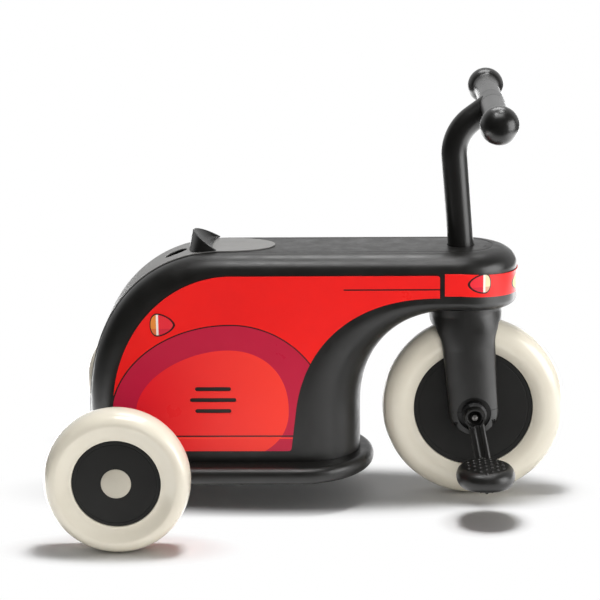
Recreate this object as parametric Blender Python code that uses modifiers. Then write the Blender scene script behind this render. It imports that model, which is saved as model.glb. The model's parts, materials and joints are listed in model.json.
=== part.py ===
"""A toddler's pedal trike, styled as a motor scooter.

+X is forward, +Y is the rider's left and +Z is up. The origin is on the floor, under the middle of
the trike's length and width. All lengths are in metres.
"""

import math

import bmesh
import bpy
from mathutils import Matrix, Vector

# Wheels
FRONT_RADIUS = 0.100
REAR_RADIUS = 0.076
WHEELBASE = 0.374
TRACK = 0.384
TYRE_HALF_WIDTH = 0.021
FRONT_TREAD_CROWN = 0.020
REAR_TREAD_CROWN = 0.013
FRONT_SIDE_DIP = 0.0012
REAR_SIDE_DIP = 0.0022
FRONT_DISC_RADIUS = 0.065
REAR_DISC_RADIUS = 0.0458
DISC_FACE = 0.0137
DISC_THICKNESS = 0.0026
BEAD_LIP = 0.0016
BEAD_ROUND = 0.0008
BEAD_DEPTH = 0.0045
HUB_CAP_RADIUS = 0.0155
HUB_CAP_CROWN = 0.0026
HUB_CAP_EDGE = 0.0004
HUB_CAP_SKIRT = 0.0022
HUB_CAP_WALL = 0.0014

# Rear axle
AXLE_RADIUS = 0.005
AXLE_TUBE_RADIUS = 0.011
AXLE_TUBE_WALL = 0.0018
TUBE_BUSH_FLANGE = 0.0015
TUBE_BUSH_LENGTH = 0.018
WASHER_THICKNESS = 0.0011
NUT_HEIGHT = 0.005
NUT_RADIUS = 0.0085
HUB_POCKET_FLOOR = 0.0043
AXLE_PAST_NUT = 0.0012
ROD_CHAMFER = 0.001

# Clearances
FIT_GAP = 0.0003
RUNNING_GAP = 0.0004
WHEEL_SIDE_GAP = 0.0008
CROWN_GAP = 0.0007
CRANK_SIDE_GAP = 0.0006

# Body shell, with its heights measured down from the seat
BEAM_DEPTH = 0.0625
BODY_HALF_WIDTH = 0.0625
SEAT_HALF_WIDTH = 0.036
SHOULDER_DROP = 0.0195
BELLY_RISE = 0.012
BELLY_HALF_WIDTH = 0.040
PILLAR_TIP_HALF_WIDTH = 0.001
SHELL_WALL = 0.0035
GROOVE_DEPTH = 0.0008
GROOVE_WIDTH = 0.0016
NOSE_REACH = 0.0465
HEAD_LENGTH = 0.0625
TAIL_OVERHANG = 0.044
TAIL_CURVE_LENGTH = 0.148
TAIL_CURVE_BASE = 0.105
TAIL_EDGE_INSET = 0.025
TAIL_EDGE_LENGTH = 0.131
TAIL_EDGE_BASE = 0.112
PILLAR_CLEARANCE = 0.0244
ARCH_START = 0.006
ARCH_EDGE_START = 0.022
ARCH_EDGE_INSET = 0.0636
ARCH_EDGE_DROP = 0.020
TAIL_HOLE_FORWARD = 0.050
TAIL_HOLE_HALF_LENGTH = 0.0125
TAIL_HOLE_HALF_WIDTH = 0.0095

# Base plate
PLATE_BOTTOM = 0.0345
PLATE_THICKNESS = 0.0186
PLATE_HALF_WIDTH = 0.090
PLATE_CLEARANCE = 0.0095
PLATE_OVERHANG = 0.058
PLATE_NOSE = 0.080
PLATE_CORNER = 0.045
PLATE_RIM_FLAT = 0.0012
PLATE_SKIN = 0.004
PLATE_RIB = 0.004
POCKET_BACK_MARGIN = 0.030
POCKET_FRONT_MARGIN = 0.0675

# Panels, band, inlay and tail lip
PANEL_THICKNESS = 0.0010
PANEL_TAIL_INSET = 0.002
PANEL_TOP_INSET = 0.001
PANEL_ARCH_INSET = 0.007
PANEL_ARCH_RISE = 0.0055
PANEL_FRONT_INSET = 0.0226
PANEL_FOOT_INSET = 0.0744
PANEL_BOTTOM_MARGIN = 0.0126
PANEL_CORNER = 0.004
PANEL_HOLE_MARGIN = 0.002
VENT_FORWARD = 0.0914
VENT_TOP = 0.1358
VENT_PITCH = 0.0123
VENT_HEIGHT = 0.0045
VENT_SHORT = 0.039
VENT_LONG = 0.050
BAND_DROP = 0.0187
BAND_HEIGHT = 0.0243
BAND_BACK_INSET = 0.0174
INLAY_MARGIN = 0.002
INLAY_FORWARD = 0.158
INLAY_OVAL_LENGTH = 0.055
LIP_FORWARD = 0.096
LIP_HEIGHT = 0.0155
LIP_FOOT_LENGTH = 0.031
LIP_CREST_LENGTH = 0.0275
LIP_CREST_INSET = 0.0005
LIP_RIM = 0.0018
LIP_EDGE = 0.0008
LIP_RAMP_LENGTH = 0.006
LIP_RAMP_INSET = 0.003

# Steering head and stem, stacked up the steering axis from the front tyre
RAKE = math.radians(4.5)
TYRE_CLEARANCE = 0.0045
CROWN_RADIUS = 0.040
CROWN_DEPTH = 0.0123
HEAD_GAP = 0.0016
RECESS_MARGIN = 0.002
STEM_RADIUS = 0.014
STEM_WALL = 0.0016
STEERER_WALL = 0.005
STEERER_DROP = 0.021
BUSH_WALL = 0.0045
HEAD_TUBE_WALL = 0.004
LOWER_BUSH_LENGTH = 0.022
UPPER_BUSH_LENGTH = 0.0075
BUSH_DROP = 0.0018
STEM_RISE = 0.096
STEM_BEND_RADIUS = 0.048
STEM_BEND_ANGLE = math.radians(58.5)
STEM_REACH = 0.0253
STEM_FOOT_WEB = 0.004
SADDLE_DEPTH = 0.003
BOLT_RADIUS = 0.004
BOLT_HEAD_RADIUS = 0.0065
BOLT_HEAD_HEIGHT = 0.0022
PLUG_LENGTH = 0.0235
CROSSBAR_RADIUS = 0.0132
CROSSBAR_CORE_RADIUS = 0.0105
CROSSBAR_WALL = 0.0015
GRIP_START = 0.018
GRIP_WAIST_RADIUS = 0.0125
GRIP_NECK_RADIUS = 0.0135
KNOB_CENTRE = 0.140
KNOB_RADIUS = 0.020
CORE_END_INSET = 0.008
BORE_END_INSET = 0.006

# Fork legs and their end caps
LEG_CLEARANCE = 0.0035
CROWN_FILLET = 0.006
WAIST_DROP = 0.0105
FLARE_LENGTH = 0.024
LEG_TOP_HALF_WIDTH = 0.029
LEG_LOW_HALF_WIDTH = 0.0273
LEG_TIP = 0.023
CAP_SEAM = 0.002
BOSS_RADIUS = 0.0185
BOSS_DEPTH = 0.006
AXLE_BUSH_RADIUS = 0.010
AXLE_BUSH_FLANGE = 0.0135
CAP_SCREW_SPREAD = 0.0195
CAP_SCREW_INSET = 0.0024
CAP_SCREW_SEAT = 0.009
CAP_SCREW_LENGTH = 0.018
CAP_SCREW_RADIUS = 0.0015
CAP_SCREW_HEAD_RADIUS = 0.0027
CAP_SCREW_HEAD_HEIGHT = 0.002

# Cranks and pedals
CRANK_LENGTH = 0.0494
CRANK_LEAN = math.radians(11)
CRANK_AXLE_RADIUS = 0.006
CRANK_CLEARANCE = 0.006
CRANK_THICKNESS = 0.010
CRANK_RISE = 0.011
CRANK_HALF_WIDTH = 0.0087
CRANK_ROOT_RADIUS = 0.0115
CRANK_ROOT_PROUD = 0.002
CRANK_FOLD = 0.012
CRANK_ROUNDING = 0.0014
HOOD_RADIUS = 0.009
HOOD_DEPTH = 0.0065
CHANNEL_HALF_WIDTH = 0.0026
CHANNEL_DEPTH = 0.003
CHANNEL_END = 0.011
AXLE_DOME_RADIUS = 0.0045
AXLE_DOME_HEIGHT = 0.0035
PEDAL_PIN_RADIUS = 0.004
PEDAL_CLEARANCE = 0.0045
PEDAL_HALF_WIDTH = 0.034
PEDAL_HALF_LENGTH = 0.0313
PEDAL_HALF_HEIGHT = 0.0125
PEDAL_ROUNDING = 0.010
PEDAL_END_WALL = 0.014
SNAP_BULGE = 0.0006
STUD_COLUMN_PITCH = 0.0061
STUD_ROW_PITCH = 0.0104
STUD_RADIUS = 0.0022
STUD_HEIGHT = 0.0014
STUD_ROOT = 0.0008

# Screws that hold the base plate
SCREW_RADIUS = 0.002
SCREW_HEAD_RADIUS = 0.0038
SCREW_HEAD_HEIGHT = 0.0028
SCREW_LENGTH = 0.022
SCREW_TIP = 0.002
SCREW_FORWARD = 0.026
SCREW_BEHIND_PILLAR = 0.0906
POST_RADIUS = 0.0062
POST_HEIGHT = 0.024
POST_BLEND = 0.0015
PILOT_ROOM = 0.006

# How far a cutter runs past the surface that it opens
OVERCUT = 0.002
REACH_THROUGH = 0.030

# Counts
FRONT_SEGMENTS = 32
REAR_SEGMENTS = 24
SEGMENTS = 20
TUBE_SEGMENTS = 16
SMALL_SEGMENTS = 12
SCREW_SEGMENTS = 8
SHOULDER_STEPS = 3
BEND_STEPS = 11
NOSE_STEPS = 6
POCKET_ROWS = 4
POCKET_COLUMNS = 3
STUDS_PER_COLUMN = (3, 4, 5, 6, 5, 4, 3)

# Worked out from the driving sizes
FRONT_AXLE_X = (WHEELBASE + REAR_RADIUS - FRONT_RADIUS) / 2
REAR_AXLE_X = FRONT_AXLE_X - WHEELBASE
WHEEL_Y = TRACK / 2
TAIL_X = REAR_AXLE_X - TAIL_OVERHANG
PILLAR_X = FRONT_AXLE_X - FRONT_RADIUS - PILLAR_CLEARANCE
HEAD_X = FRONT_AXLE_X + NOSE_REACH - HEAD_LENGTH
CROWN_UNDERSIDE = FRONT_RADIUS + TYRE_CLEARANCE
CROWN_TOP = CROWN_UNDERSIDE + CROWN_DEPTH
CROWN_WAIST = CROWN_UNDERSIDE - WAIST_DROP
BEAM_UNDERSIDE = FRONT_RADIUS + (CROWN_TOP + HEAD_GAP) * math.cos(RAKE)
BEAM_EDGE = BEAM_UNDERSIDE + BELLY_RISE
SEAT_HEIGHT = BEAM_UNDERSIDE + BEAM_DEPTH
SHOULDER_EDGE = SEAT_HEIGHT - SHOULDER_DROP
HEAD_TOP = (SEAT_HEIGHT - FRONT_RADIUS) / math.cos(RAKE)
BAND_TOP = SEAT_HEIGHT - BAND_DROP
BAND_BOTTOM = BAND_TOP - BAND_HEIGHT
HEAD_MIDDLE = (BAND_TOP + BAND_BOTTOM) / 2
PLATE_TOP = PLATE_BOTTOM + PLATE_THICKNESS
SHELL_BOTTOM = PLATE_TOP + FIT_GAP
PANEL_BOTTOM = SHELL_BOTTOM + PANEL_BOTTOM_MARGIN
PANEL_OUTSIDE = BODY_HALF_WIDTH + FIT_GAP + PANEL_THICKNESS
STEERER_RADIUS = STEM_RADIUS + STEERER_WALL
STEERER_TOP = HEAD_TOP - STEERER_DROP
LOWER_BUSH_RADIUS = STEERER_RADIUS + BUSH_WALL
UPPER_BUSH_RADIUS = STEM_RADIUS + BUSH_WALL
STEM_FOOT = CROWN_UNDERSIDE + STEM_FOOT_WEB
STEM_BEND_START = HEAD_TOP + STEM_RISE
LEG_INNER = TYRE_HALF_WIDTH + LEG_CLEARANCE
CAP_SCREW_Y = math.sqrt(CROWN_RADIUS**2 - CAP_SCREW_SPREAD**2) - CAP_SCREW_INSET
CRANK_INNER = CROWN_RADIUS + CRANK_CLEARANCE
CRANK_OUTER = CRANK_INNER + CRANK_THICKNESS
CRANK_END_FOLD = CRANK_LENGTH - CRANK_HALF_WIDTH
PEDAL_INNER = CRANK_OUTER + CRANK_RISE + PEDAL_CLEARANCE
PEDAL_BORE_DEPTH = 2 * PEDAL_HALF_WIDTH - PEDAL_END_WALL
TUBE_BUSH_END = WHEEL_Y - DISC_FACE - WHEEL_SIDE_GAP
AXLE_TUBE_END = TUBE_BUSH_END - TUBE_BUSH_FLANGE - FIT_GAP
WASHER_FACE = HUB_POCKET_FLOOR + RUNNING_GAP
NUT_FACE = WASHER_FACE + WASHER_THICKNESS + FIT_GAP
AXLE_END = WHEEL_Y + NUT_FACE + NUT_HEIGHT + AXLE_PAST_NUT
SCREW_SEAT = PLATE_BOTTOM + PLATE_THICKNESS / 2
SCREW_Y = BODY_HALF_WIDTH - SHELL_WALL - POST_RADIUS + POST_BLEND
SCREW_SPOTS = [
    (x, side * SCREW_Y)
    for x in (REAR_AXLE_X + SCREW_FORWARD, PILLAR_X - SCREW_BEHIND_PILLAR)
    for side in (-1, 1)
]
SIDES = (("right", -1), ("left", 1))

COLLECTION_NAME = "pedal_scooter"


# Scene and helper functions


def clear_scene():
    for obj in list(bpy.data.objects):
        bpy.data.objects.remove(obj, do_unlink=True)


def new_collection(name):
    collection = bpy.data.collections.new(name)
    bpy.context.scene.collection.children.link(collection)
    return collection


def principled(name, colour, roughness, metallic=0.0):
    material = bpy.data.materials.new(name)
    material.use_nodes = True
    shader = material.node_tree.nodes["Principled BSDF"]
    shader.inputs["Base Color"].default_value = (*colour, 1.0)
    shader.inputs["Roughness"].default_value = roughness
    shader.inputs["Metallic"].default_value = metallic
    return material


clear_scene()
PARTS = new_collection(COLLECTION_NAME)
CUTTERS = new_collection("cutters")
CUTTERS.hide_render = True

BLACK_PLASTIC = principled("black_moulded_plastic", (0.028, 0.027, 0.025), 0.42)
BLACK_PAINT = principled("black_painted_steel", (0.022, 0.021, 0.020), 0.32)
GRIP_PLASTIC = principled("black_grip_plastic", (0.030, 0.028, 0.026), 0.36)
RED_PANEL = principled("red_panel", (0.80, 0.030, 0.022), 0.30)
GREY_INLAY = principled("grey_inlay", (0.33, 0.33, 0.31), 0.40)
CREAM_TYRE = principled("cream_tyre", (0.74, 0.69, 0.57), 0.25)
CREAM_CAP = principled("cream_cap", (0.58, 0.54, 0.46), 0.35)
HUB_BLACK = principled("black_hub", (0.016, 0.016, 0.016), 0.50)
BARE_STEEL = principled("zinc_steel", (0.55, 0.55, 0.53), 0.35, 1.0)
BUSH_NYLON = principled("nylon_bush", (0.10, 0.10, 0.10), 0.45)


def place(name, mesh, material, parent=None, collection=None):
    """An object that shows a mesh, in the parts unless another collection is named."""
    obj = bpy.data.objects.new(name, mesh)
    (collection or PARTS).objects.link(obj)
    mesh.materials.clear()
    mesh.materials.append(material)
    obj.parent = parent
    return obj


def cutter(name, mesh, parent=None):
    obj = place(name, mesh, BLACK_PLASTIC, parent, CUTTERS)
    obj.display_type = "WIRE"
    obj.hide_render = True
    return obj


def pivot(name, location, rotation=(0, 0, 0), parent=None):
    empty = bpy.data.objects.new(name, None)
    PARTS.objects.link(empty)
    empty.location = location
    empty.rotation_euler = rotation
    empty.parent = parent
    return empty


def boolean(obj, other, operation="DIFFERENCE"):
    modifier = obj.modifiers.new(other.name, "BOOLEAN")
    modifier.operation = operation
    modifier.object = other


def cut(obj, name, mesh, parent=None):
    boolean(obj, cutter(name, mesh, parent))


def add(obj, name, mesh, parent=None):
    boolean(obj, cutter(name, mesh, parent), "UNION")


def bevel(obj, width, segments=2, angle=40):
    modifier = obj.modifiers.new("rounded edges", "BEVEL")
    modifier.width = width
    modifier.segments = segments
    modifier.limit_method = "ANGLE"
    modifier.angle_limit = math.radians(angle)


def mirror_half(obj):
    """Joins a half on the +Y side, which is open at the middle plane, to its reflection."""
    modifier = obj.modifiers.new("other half", "MIRROR")
    modifier.use_axis = (False, True, False)
    modifier.merge_threshold = 0.00005


def thicken(obj, thickness, offset):
    """Gives an open surface a wall, inward from it at -1 and outward at 1."""
    modifier = obj.modifiers.new("wall", "SOLIDIFY")
    modifier.thickness = thickness
    modifier.offset = offset
    modifier.use_even_offset = True


def smooth(mesh, angle):
    mesh.shade_smooth()
    mesh.set_sharp_from_angle(angle=math.radians(angle))


def mesh_from(name, build, smooth_angle=35):
    """A mesh made by a function that fills a bmesh, with its normals out and its flat edges kept sharp."""
    bm = bmesh.new()
    build(bm)
    bmesh.ops.recalc_face_normals(bm, faces=bm.faces)
    mesh = bpy.data.meshes.new(name)
    bm.to_mesh(mesh)
    bm.free()
    smooth(mesh, smooth_angle)
    return mesh


def skin_rows(bm, rows, closed=False):
    """Faces between neighbouring rows of vertices; closed rows run round in a ring."""
    for lower, upper in zip(rows, rows[1:]):
        for i in range(len(lower) - (0 if closed else 1)):
            j = (i + 1) % len(lower)
            bm.faces.new([lower[i], lower[j], upper[j], upper[i]])


def cylinder(name, radius, start, end, axis="Y", at=(0, 0), segments=SEGMENTS):
    """A cylinder from start to end along an axis; at gives its other two coordinates."""
    turn = {"X": Matrix.Rotation(math.pi / 2, 4, "Y"), "Y": Matrix.Rotation(-math.pi / 2, 4, "X")}
    start, end = sorted((start, end))
    middle = (start + end) / 2
    centre = {"X": (middle, *at), "Y": (at[0], middle, at[1]), "Z": (*at, middle)}[axis]

    def build(bm):
        bmesh.ops.create_cone(
            bm,
            cap_ends=True,
            segments=segments,
            radius1=radius,
            radius2=radius,
            depth=end - start,
            matrix=Matrix.Translation(centre) @ turn.get(axis, Matrix.Identity(4)),
        )

    return mesh_from(name, build)


def box(name, low, high):
    size = Vector(high) - Vector(low)
    centre = (Vector(high) + Vector(low)) / 2

    def build(bm):
        bmesh.ops.create_cube(bm, size=1.0, matrix=Matrix.Translation(centre) @ Matrix.Diagonal((*size, 1)))

    return mesh_from(name, build)


def mesh_of_curve(name, curve, flat=False):
    """Turns a curve into a mesh with its caps welded on, and with each flat face in one piece."""
    obj = bpy.data.objects.new(name, curve)
    CUTTERS.objects.link(obj)
    bpy.context.view_layer.update()
    mesh = bpy.data.meshes.new_from_object(obj.evaluated_get(bpy.context.evaluated_depsgraph_get()))
    bpy.data.objects.remove(obj, do_unlink=True)
    bm = bmesh.new()
    bm.from_mesh(mesh)
    bmesh.ops.remove_doubles(bm, verts=bm.verts, dist=0.00001)
    if flat:
        bmesh.ops.dissolve_limit(bm, angle_limit=math.radians(0.1), verts=bm.verts, edges=bm.edges)
    bmesh.ops.recalc_face_normals(bm, faces=bm.faces)
    bm.to_mesh(mesh)
    bm.free()
    smooth(mesh, 35)
    return mesh


def add_poly_spline(curve, points, cyclic):
    spline = curve.splines.new("POLY")
    spline.use_cyclic_u = cyclic
    spline.points.add(len(points) - 1)
    for target, point in zip(spline.points, points):
        target.co = (*point, 1.0)


def prism(name, outline, low, high, plane="XZ"):
    """A filled flat outline of 2D points, pulled along the axis that the plane leaves, from low to high."""
    low, high = sorted((low, high))
    curve = bpy.data.curves.new(name, "CURVE")
    curve.dimensions = "2D"
    curve.fill_mode = "BOTH"
    curve.extrude = (high - low) / 2
    add_poly_spline(curve, [(*pair, 0.0) for pair in outline], True)
    mesh = mesh_of_curve(name, curve, flat=True)
    stand = Matrix.Rotation(math.pi / 2, 4, "X")
    middle = (low + high) / 2
    moves = {
        "XY": Matrix.Translation((0, 0, middle)),
        "XZ": Matrix.Translation((0, middle, 0)) @ stand,
        "YZ": Matrix.Translation((middle, 0, 0)) @ Matrix.Rotation(math.pi / 2, 4, "Z") @ stand,
    }
    mesh.transform(moves[plane])
    return mesh


def tube(name, points, radius):
    """A round bar along points in the XZ plane, from a curve with a bevel depth and filled caps."""
    curve = bpy.data.curves.new(name, "CURVE")
    curve.dimensions = "3D"
    curve.bevel_depth = radius
    curve.bevel_resolution = 3
    curve.use_fill_caps = True
    add_poly_spline(curve, [(x, 0.0, z) for x, z in points], False)
    return mesh_of_curve(name, curve)


def signed_area(profile):
    """Positive where the outline runs anticlockwise."""
    pairs = zip(profile, [*profile[1:], profile[0]])
    return sum(a[0] * b[1] - b[0] * a[1] for a, b in pairs) / 2


def turned(name, profile, material, parent=None, segments=SEGMENTS, collection=None):
    """A ring or a solid turned about the object's own Z, from (radius, height) points.

    A Screw makes faces that point outward where the profile runs down its outer side. A profile that
    starts and ends on the axis is left open there.
    """
    if signed_area(profile) > 0:
        profile = profile[::-1]
    closed = profile[0][0] > 0 or profile[-1][0] > 0
    mesh = bpy.data.meshes.new(name)
    count = len(profile)
    edges = [(i, i + 1) for i in range(count - 1)]
    if closed:
        edges.append((count - 1, 0))
    mesh.from_pydata([(radius, 0, height) for radius, height in profile], edges, [])
    obj = place(name, mesh, material, parent, collection)
    screw = obj.modifiers.new("turn", "SCREW")
    screw.axis = "Z"
    screw.steps = segments
    screw.render_steps = segments
    screw.use_merge_vertices = True
    screw.merge_threshold = 0.00001
    screw.use_smooth_shade = True
    return obj


def ring_profile(outer, inner, high, low):
    return [(outer, high), (outer, low), (inner, low), (inner, high)]


def rod_profile(radius, high, low):
    """A plain rod with chamfered ends."""
    chamfered = radius - ROD_CHAMFER
    upper = [(0, high), (chamfered, high), (radius, high - ROD_CHAMFER)]
    return [*upper, (radius, low + ROD_CHAMFER), (chamfered, low), (0, low)]


def along_y(obj, x, z, y=0.0, side=1):
    """Stands an object that was turned about Z along the wheel axis, pointing outward on its side."""
    obj.location = (x, y, z)
    obj.rotation_euler = (-side * math.pi / 2, 0, 0)
    return obj


def superellipse(centre, reach, power, angle):
    """A point on a superellipse, at an angle from +X; a power of 2 is a plain ellipse."""
    across = math.copysign(abs(math.cos(angle)) ** (2 / power), math.cos(angle))
    upward = math.copysign(abs(math.sin(angle)) ** (2 / power), math.sin(angle))
    return centre[0] + reach[0] * across, centre[1] + reach[1] * upward


def arc(centre, reach, power, start, end, steps):
    """Points along a stretch of a superellipse, with angles in degrees."""
    angles = [math.radians(start + (end - start) * i / steps) for i in range(steps + 1)]
    return [superellipse(centre, reach, power, angle) for angle in angles]


def round_arc(centre, radius, start, end, steps):
    return arc(centre, (radius, radius), 2, start, end, steps)


def slot_outline(centre, length, height):
    """A level slot with round ends."""
    half = (length - height) / 2
    right = round_arc((centre[0] + half, centre[1]), height / 2, -90, 90, 4)
    left = round_arc((centre[0] - half, centre[1]), height / 2, 90, 270, 4)
    return [*right, *left]


def mix(a, b, share):
    return tuple(p + (q - p) * share for p, q in zip(a, b))


# Body shell: half rings of one changing section, bent from the level seat beam down into the upright
# pillar, then turned round the nose. Each ring joins four outlines: the seat and tail line, its edge
# on the flat side, and the same two for the wheel arch. A quarter ellipse rounds each line to its edge.

TAIL_LINE = (
    (TAIL_X + TAIL_CURVE_LENGTH, TAIL_CURVE_BASE),
    (TAIL_CURVE_LENGTH, SEAT_HEIGHT - TAIL_CURVE_BASE),
    2.2,
)
TAIL_EDGE = (
    (TAIL_X + TAIL_EDGE_INSET + TAIL_EDGE_LENGTH, TAIL_EDGE_BASE),
    (TAIL_EDGE_LENGTH, SHOULDER_EDGE - TAIL_EDGE_BASE),
    2.0,
)
ARCH_LINE = (
    (HEAD_X - ARCH_START, FRONT_RADIUS),
    (HEAD_X - ARCH_START - PILLAR_X, BEAM_UNDERSIDE - FRONT_RADIUS),
    2.2,
)
ARCH_EDGE = (
    (HEAD_X - ARCH_EDGE_START, FRONT_RADIUS - ARCH_EDGE_DROP),
    (HEAD_X - ARCH_EDGE_START - PILLAR_X + ARCH_EDGE_INSET, BEAM_EDGE - FRONT_RADIUS + ARCH_EDGE_DROP),
    2.3,
)


def rounded_rim(line, edge, inner_half_width):
    """Points from the line to the edge, as (x, y, z) on the +Y side."""
    points = []
    for i in range(SHOULDER_STEPS + 1):
        angle = math.pi / 2 * i / SHOULDER_STEPS
        x, z = mix(line, edge, 1 - math.cos(angle))
        y = inner_half_width + (BODY_HALF_WIDTH - inner_half_width) * math.sin(angle)
        points.append((x, y, z))
    return points


def half_section(tail_line, tail_edge, arch_line, arch_edge, belly_half_width, outward):
    """Half a ring, from the seat's middle line over the side to the middle of the underside."""
    x, z = tail_line
    seat = [(x, 0.0, z), (x, SEAT_HALF_WIDTH - GROOVE_WIDTH, z)]
    groove = (x - GROOVE_DEPTH * outward[0], SEAT_HALF_WIDTH, z - GROOVE_DEPTH * outward[1])
    shoulder = rounded_rim(tail_line, tail_edge, SEAT_HALF_WIDTH + GROOVE_WIDTH)
    belly = rounded_rim(arch_line, arch_edge, max(belly_half_width, PILLAR_TIP_HALF_WIDTH))
    return [*seat, groove, *shoulder, *belly[::-1], (arch_line[0], 0.0, arch_line[1])]


def body_sections():
    """Half rings from the open foot, up round the tail and the arch, to the head."""
    sections = []
    for i in range(BEND_STEPS + 1):
        angle = math.radians(180 - 90 * i / BEND_STEPS)
        lines = [superellipse(*line, angle) for line in (TAIL_LINE, TAIL_EDGE, ARCH_LINE, ARCH_EDGE)]
        belly_half_width = BELLY_HALF_WIDTH * math.sin(angle) ** 1.5
        outward = (math.cos(angle), math.sin(angle))
        if i == 0:
            foot = [(x, SHELL_BOTTOM) for x, _ in lines]
            sections.append(half_section(*foot, 0.0, outward))
        sections.append(half_section(*lines, belly_half_width, outward))
    head = [(HEAD_X, z) for z in (SEAT_HEIGHT, SHOULDER_EDGE, BEAM_UNDERSIDE, BEAM_EDGE)]
    sections.append(half_section(*head, BELLY_HALF_WIDTH, (0, 1)))
    return sections


def head_lean(x):
    """How far the head's lower half and its band sink towards the nose, with the fork's lean."""
    return math.tan(RAKE) * max(0.0, x - HEAD_X)


def build_half_body(bm):
    sections = body_sections()
    rings = [[bm.verts.new(point) for point in section] for section in sections]
    skin_rows(bm, rings)
    # The head's section turns from the side to the nose about the middles of its top and underside.
    top, *side_row, low = rings[-1]
    rows = [side_row]
    for i in range(1, NOSE_STEPS + 1):
        angle = math.pi / 2 * (1 - i / NOSE_STEPS)
        row = []
        for _, half_width, z in sections[-1][1:-1]:
            x = HEAD_X + HEAD_LENGTH * half_width / BODY_HALF_WIDTH * math.cos(angle)
            y = half_width * math.sin(angle) if i < NOSE_STEPS else 0.0
            row.append(bm.verts.new((x, y, z - (head_lean(x) if z < HEAD_MIDDLE else 0.0))))
        rows.append(row)
    skin_rows(bm, rows)
    for lower, upper in zip(rows, rows[1:]):
        bm.faces.new([top, lower[0], upper[0]])
        bm.faces.new([low, upper[-1], lower[-1]])


def axis_pivot(name):
    """An empty at the front axle whose own Z is the steering axis."""
    return pivot(name, (FRONT_AXLE_X, 0, FRONT_RADIUS), (0, -RAKE, 0))


STEERING = axis_pivot("steering_axis")
HEAD_FRAME = axis_pivot("head_frame")


def surface_top(x):
    """Height of the seat and tail line over a place along the body."""
    (centre_x, centre_z), (reach_x, reach_z), power = TAIL_LINE
    if x >= centre_x:
        return SEAT_HEIGHT
    share = min(1.0, (centre_x - x) / reach_x)
    return centre_z + reach_z * (1 - share**power) ** (1 / power)


def tail_hole_mesh(name):
    """An oval plug that stands square to the tail's slope."""
    x, step = REAR_AXLE_X + TAIL_HOLE_FORWARD, 0.002
    slope = math.atan2(surface_top(x + step) - surface_top(x - step), 2 * step)
    outline = arc((0, 0), (TAIL_HOLE_HALF_LENGTH, TAIL_HOLE_HALF_WIDTH), 2.2, 0, 360, 16)[:-1]
    mesh = prism(name, outline, -3 * SHELL_WALL, 3 * SHELL_WALL, "XY")
    mesh.transform(Matrix.Translation((x, 0, surface_top(x))) @ Matrix.Rotation(-slope, 4, "Y"))
    return mesh


RECESS_RADIUS = CROWN_RADIUS + RECESS_MARGIN
RECESS_WALL_RADIUS = RECESS_RADIUS + SHELL_WALL
# The trim's outline from the fork's axis and the beam's underside, in crown radii
RECESS_TRIM = (
    (-1.5, -0.12),
    (-0.95, 0.01),
    (-0.4, 0.01),
    (0.6, -0.035),
    (1.0, -0.015),
    (1.0, 0.75),
    (-1.5, 0.75),
)


def recess_wall():
    """The closed cup inside the head that the fork crown turns in, trimmed to stay above the underside."""
    high = CROWN_TOP + 2 * SHELL_WALL
    wall = cylinder("recess_wall", RECESS_WALL_RADIUS, CROWN_WAIST, high, "Z", segments=REAR_SEGMENTS)
    cup = cutter("recess_wall", wall, HEAD_FRAME)
    placed = [(FRONT_AXLE_X + x * CROWN_RADIUS, BEAM_UNDERSIDE + z * CROWN_RADIUS) for x, z in RECESS_TRIM]
    trim = cutter("recess_trim", prism("recess_trim", placed, -2 * CROWN_RADIUS, 2 * CROWN_RADIUS))
    boolean(cup, trim, "INTERSECT")
    return cup


def make_body_shell():
    shell = place("body_shell", mesh_from("body_shell", build_half_body, 30), BLACK_PLASTIC)
    mirror_half(shell)
    thicken(shell, SHELL_WALL, -1)
    boolean(shell, recess_wall(), "UNION")
    low, high = CROWN_TOP + SHELL_WALL, HEAD_TOP - SHELL_WALL / 2
    head_tube_radius = LOWER_BUSH_RADIUS + HEAD_TUBE_WALL
    head_tube = cylinder("head_tube", head_tube_radius, low, high, "Z", segments=REAR_SEGMENTS)
    add(shell, "head_tube", head_tube, HEAD_FRAME)
    low, high = CROWN_WAIST - OVERCUT, CROWN_TOP + CROWN_GAP
    recess = cylinder("crown_recess", RECESS_RADIUS, low, high, "Z", segments=REAR_SEGMENTS)
    cut(shell, "crown_recess", recess, HEAD_FRAME)
    bush_seat = HEAD_TOP - BUSH_DROP - UPPER_BUSH_LENGTH - CROWN_GAP
    bores = (
        ("lower_bush_bore", LOWER_BUSH_RADIUS, CROWN_WAIST, bush_seat),
        ("upper_bush_bore", UPPER_BUSH_RADIUS, bush_seat - OVERCUT, HEAD_TOP + STEM_RADIUS),
    )
    for name, radius, start, end in bores:
        cut(shell, name, cylinder(name, radius + FIT_GAP, start, end, "Z"), HEAD_FRAME)
    for i, (x, y) in enumerate(SCREW_SPOTS):
        name = f"screw_post_{i}"
        top = SHELL_BOTTOM + POST_HEIGHT
        add(shell, name, cylinder(name, POST_RADIUS, SHELL_BOTTOM, top, "Z", (x, y), SMALL_SEGMENTS))
        name = f"screw_pilot_{i}"
        end = SCREW_SEAT + SCREW_LENGTH + PILOT_ROOM
        pilot = cylinder(name, SCREW_RADIUS + FIT_GAP, PLATE_TOP - OVERCUT, end, "Z", (x, y), SCREW_SEGMENTS)
        cut(shell, name, pilot)
    reach = BODY_HALF_WIDTH + OVERCUT
    radius = AXLE_TUBE_RADIUS + FIT_GAP
    hole = cylinder("axle_hole", radius, -reach, reach, at=(REAR_AXLE_X, REAR_RADIUS), segments=TUBE_SEGMENTS)
    cut(shell, "axle_hole", hole)
    cut(shell, "tail_hole", tail_hole_mesh("tail_hole"))
    return shell


# Base plate: a bullnosed tray with pockets below, screwed up into the shell


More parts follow.
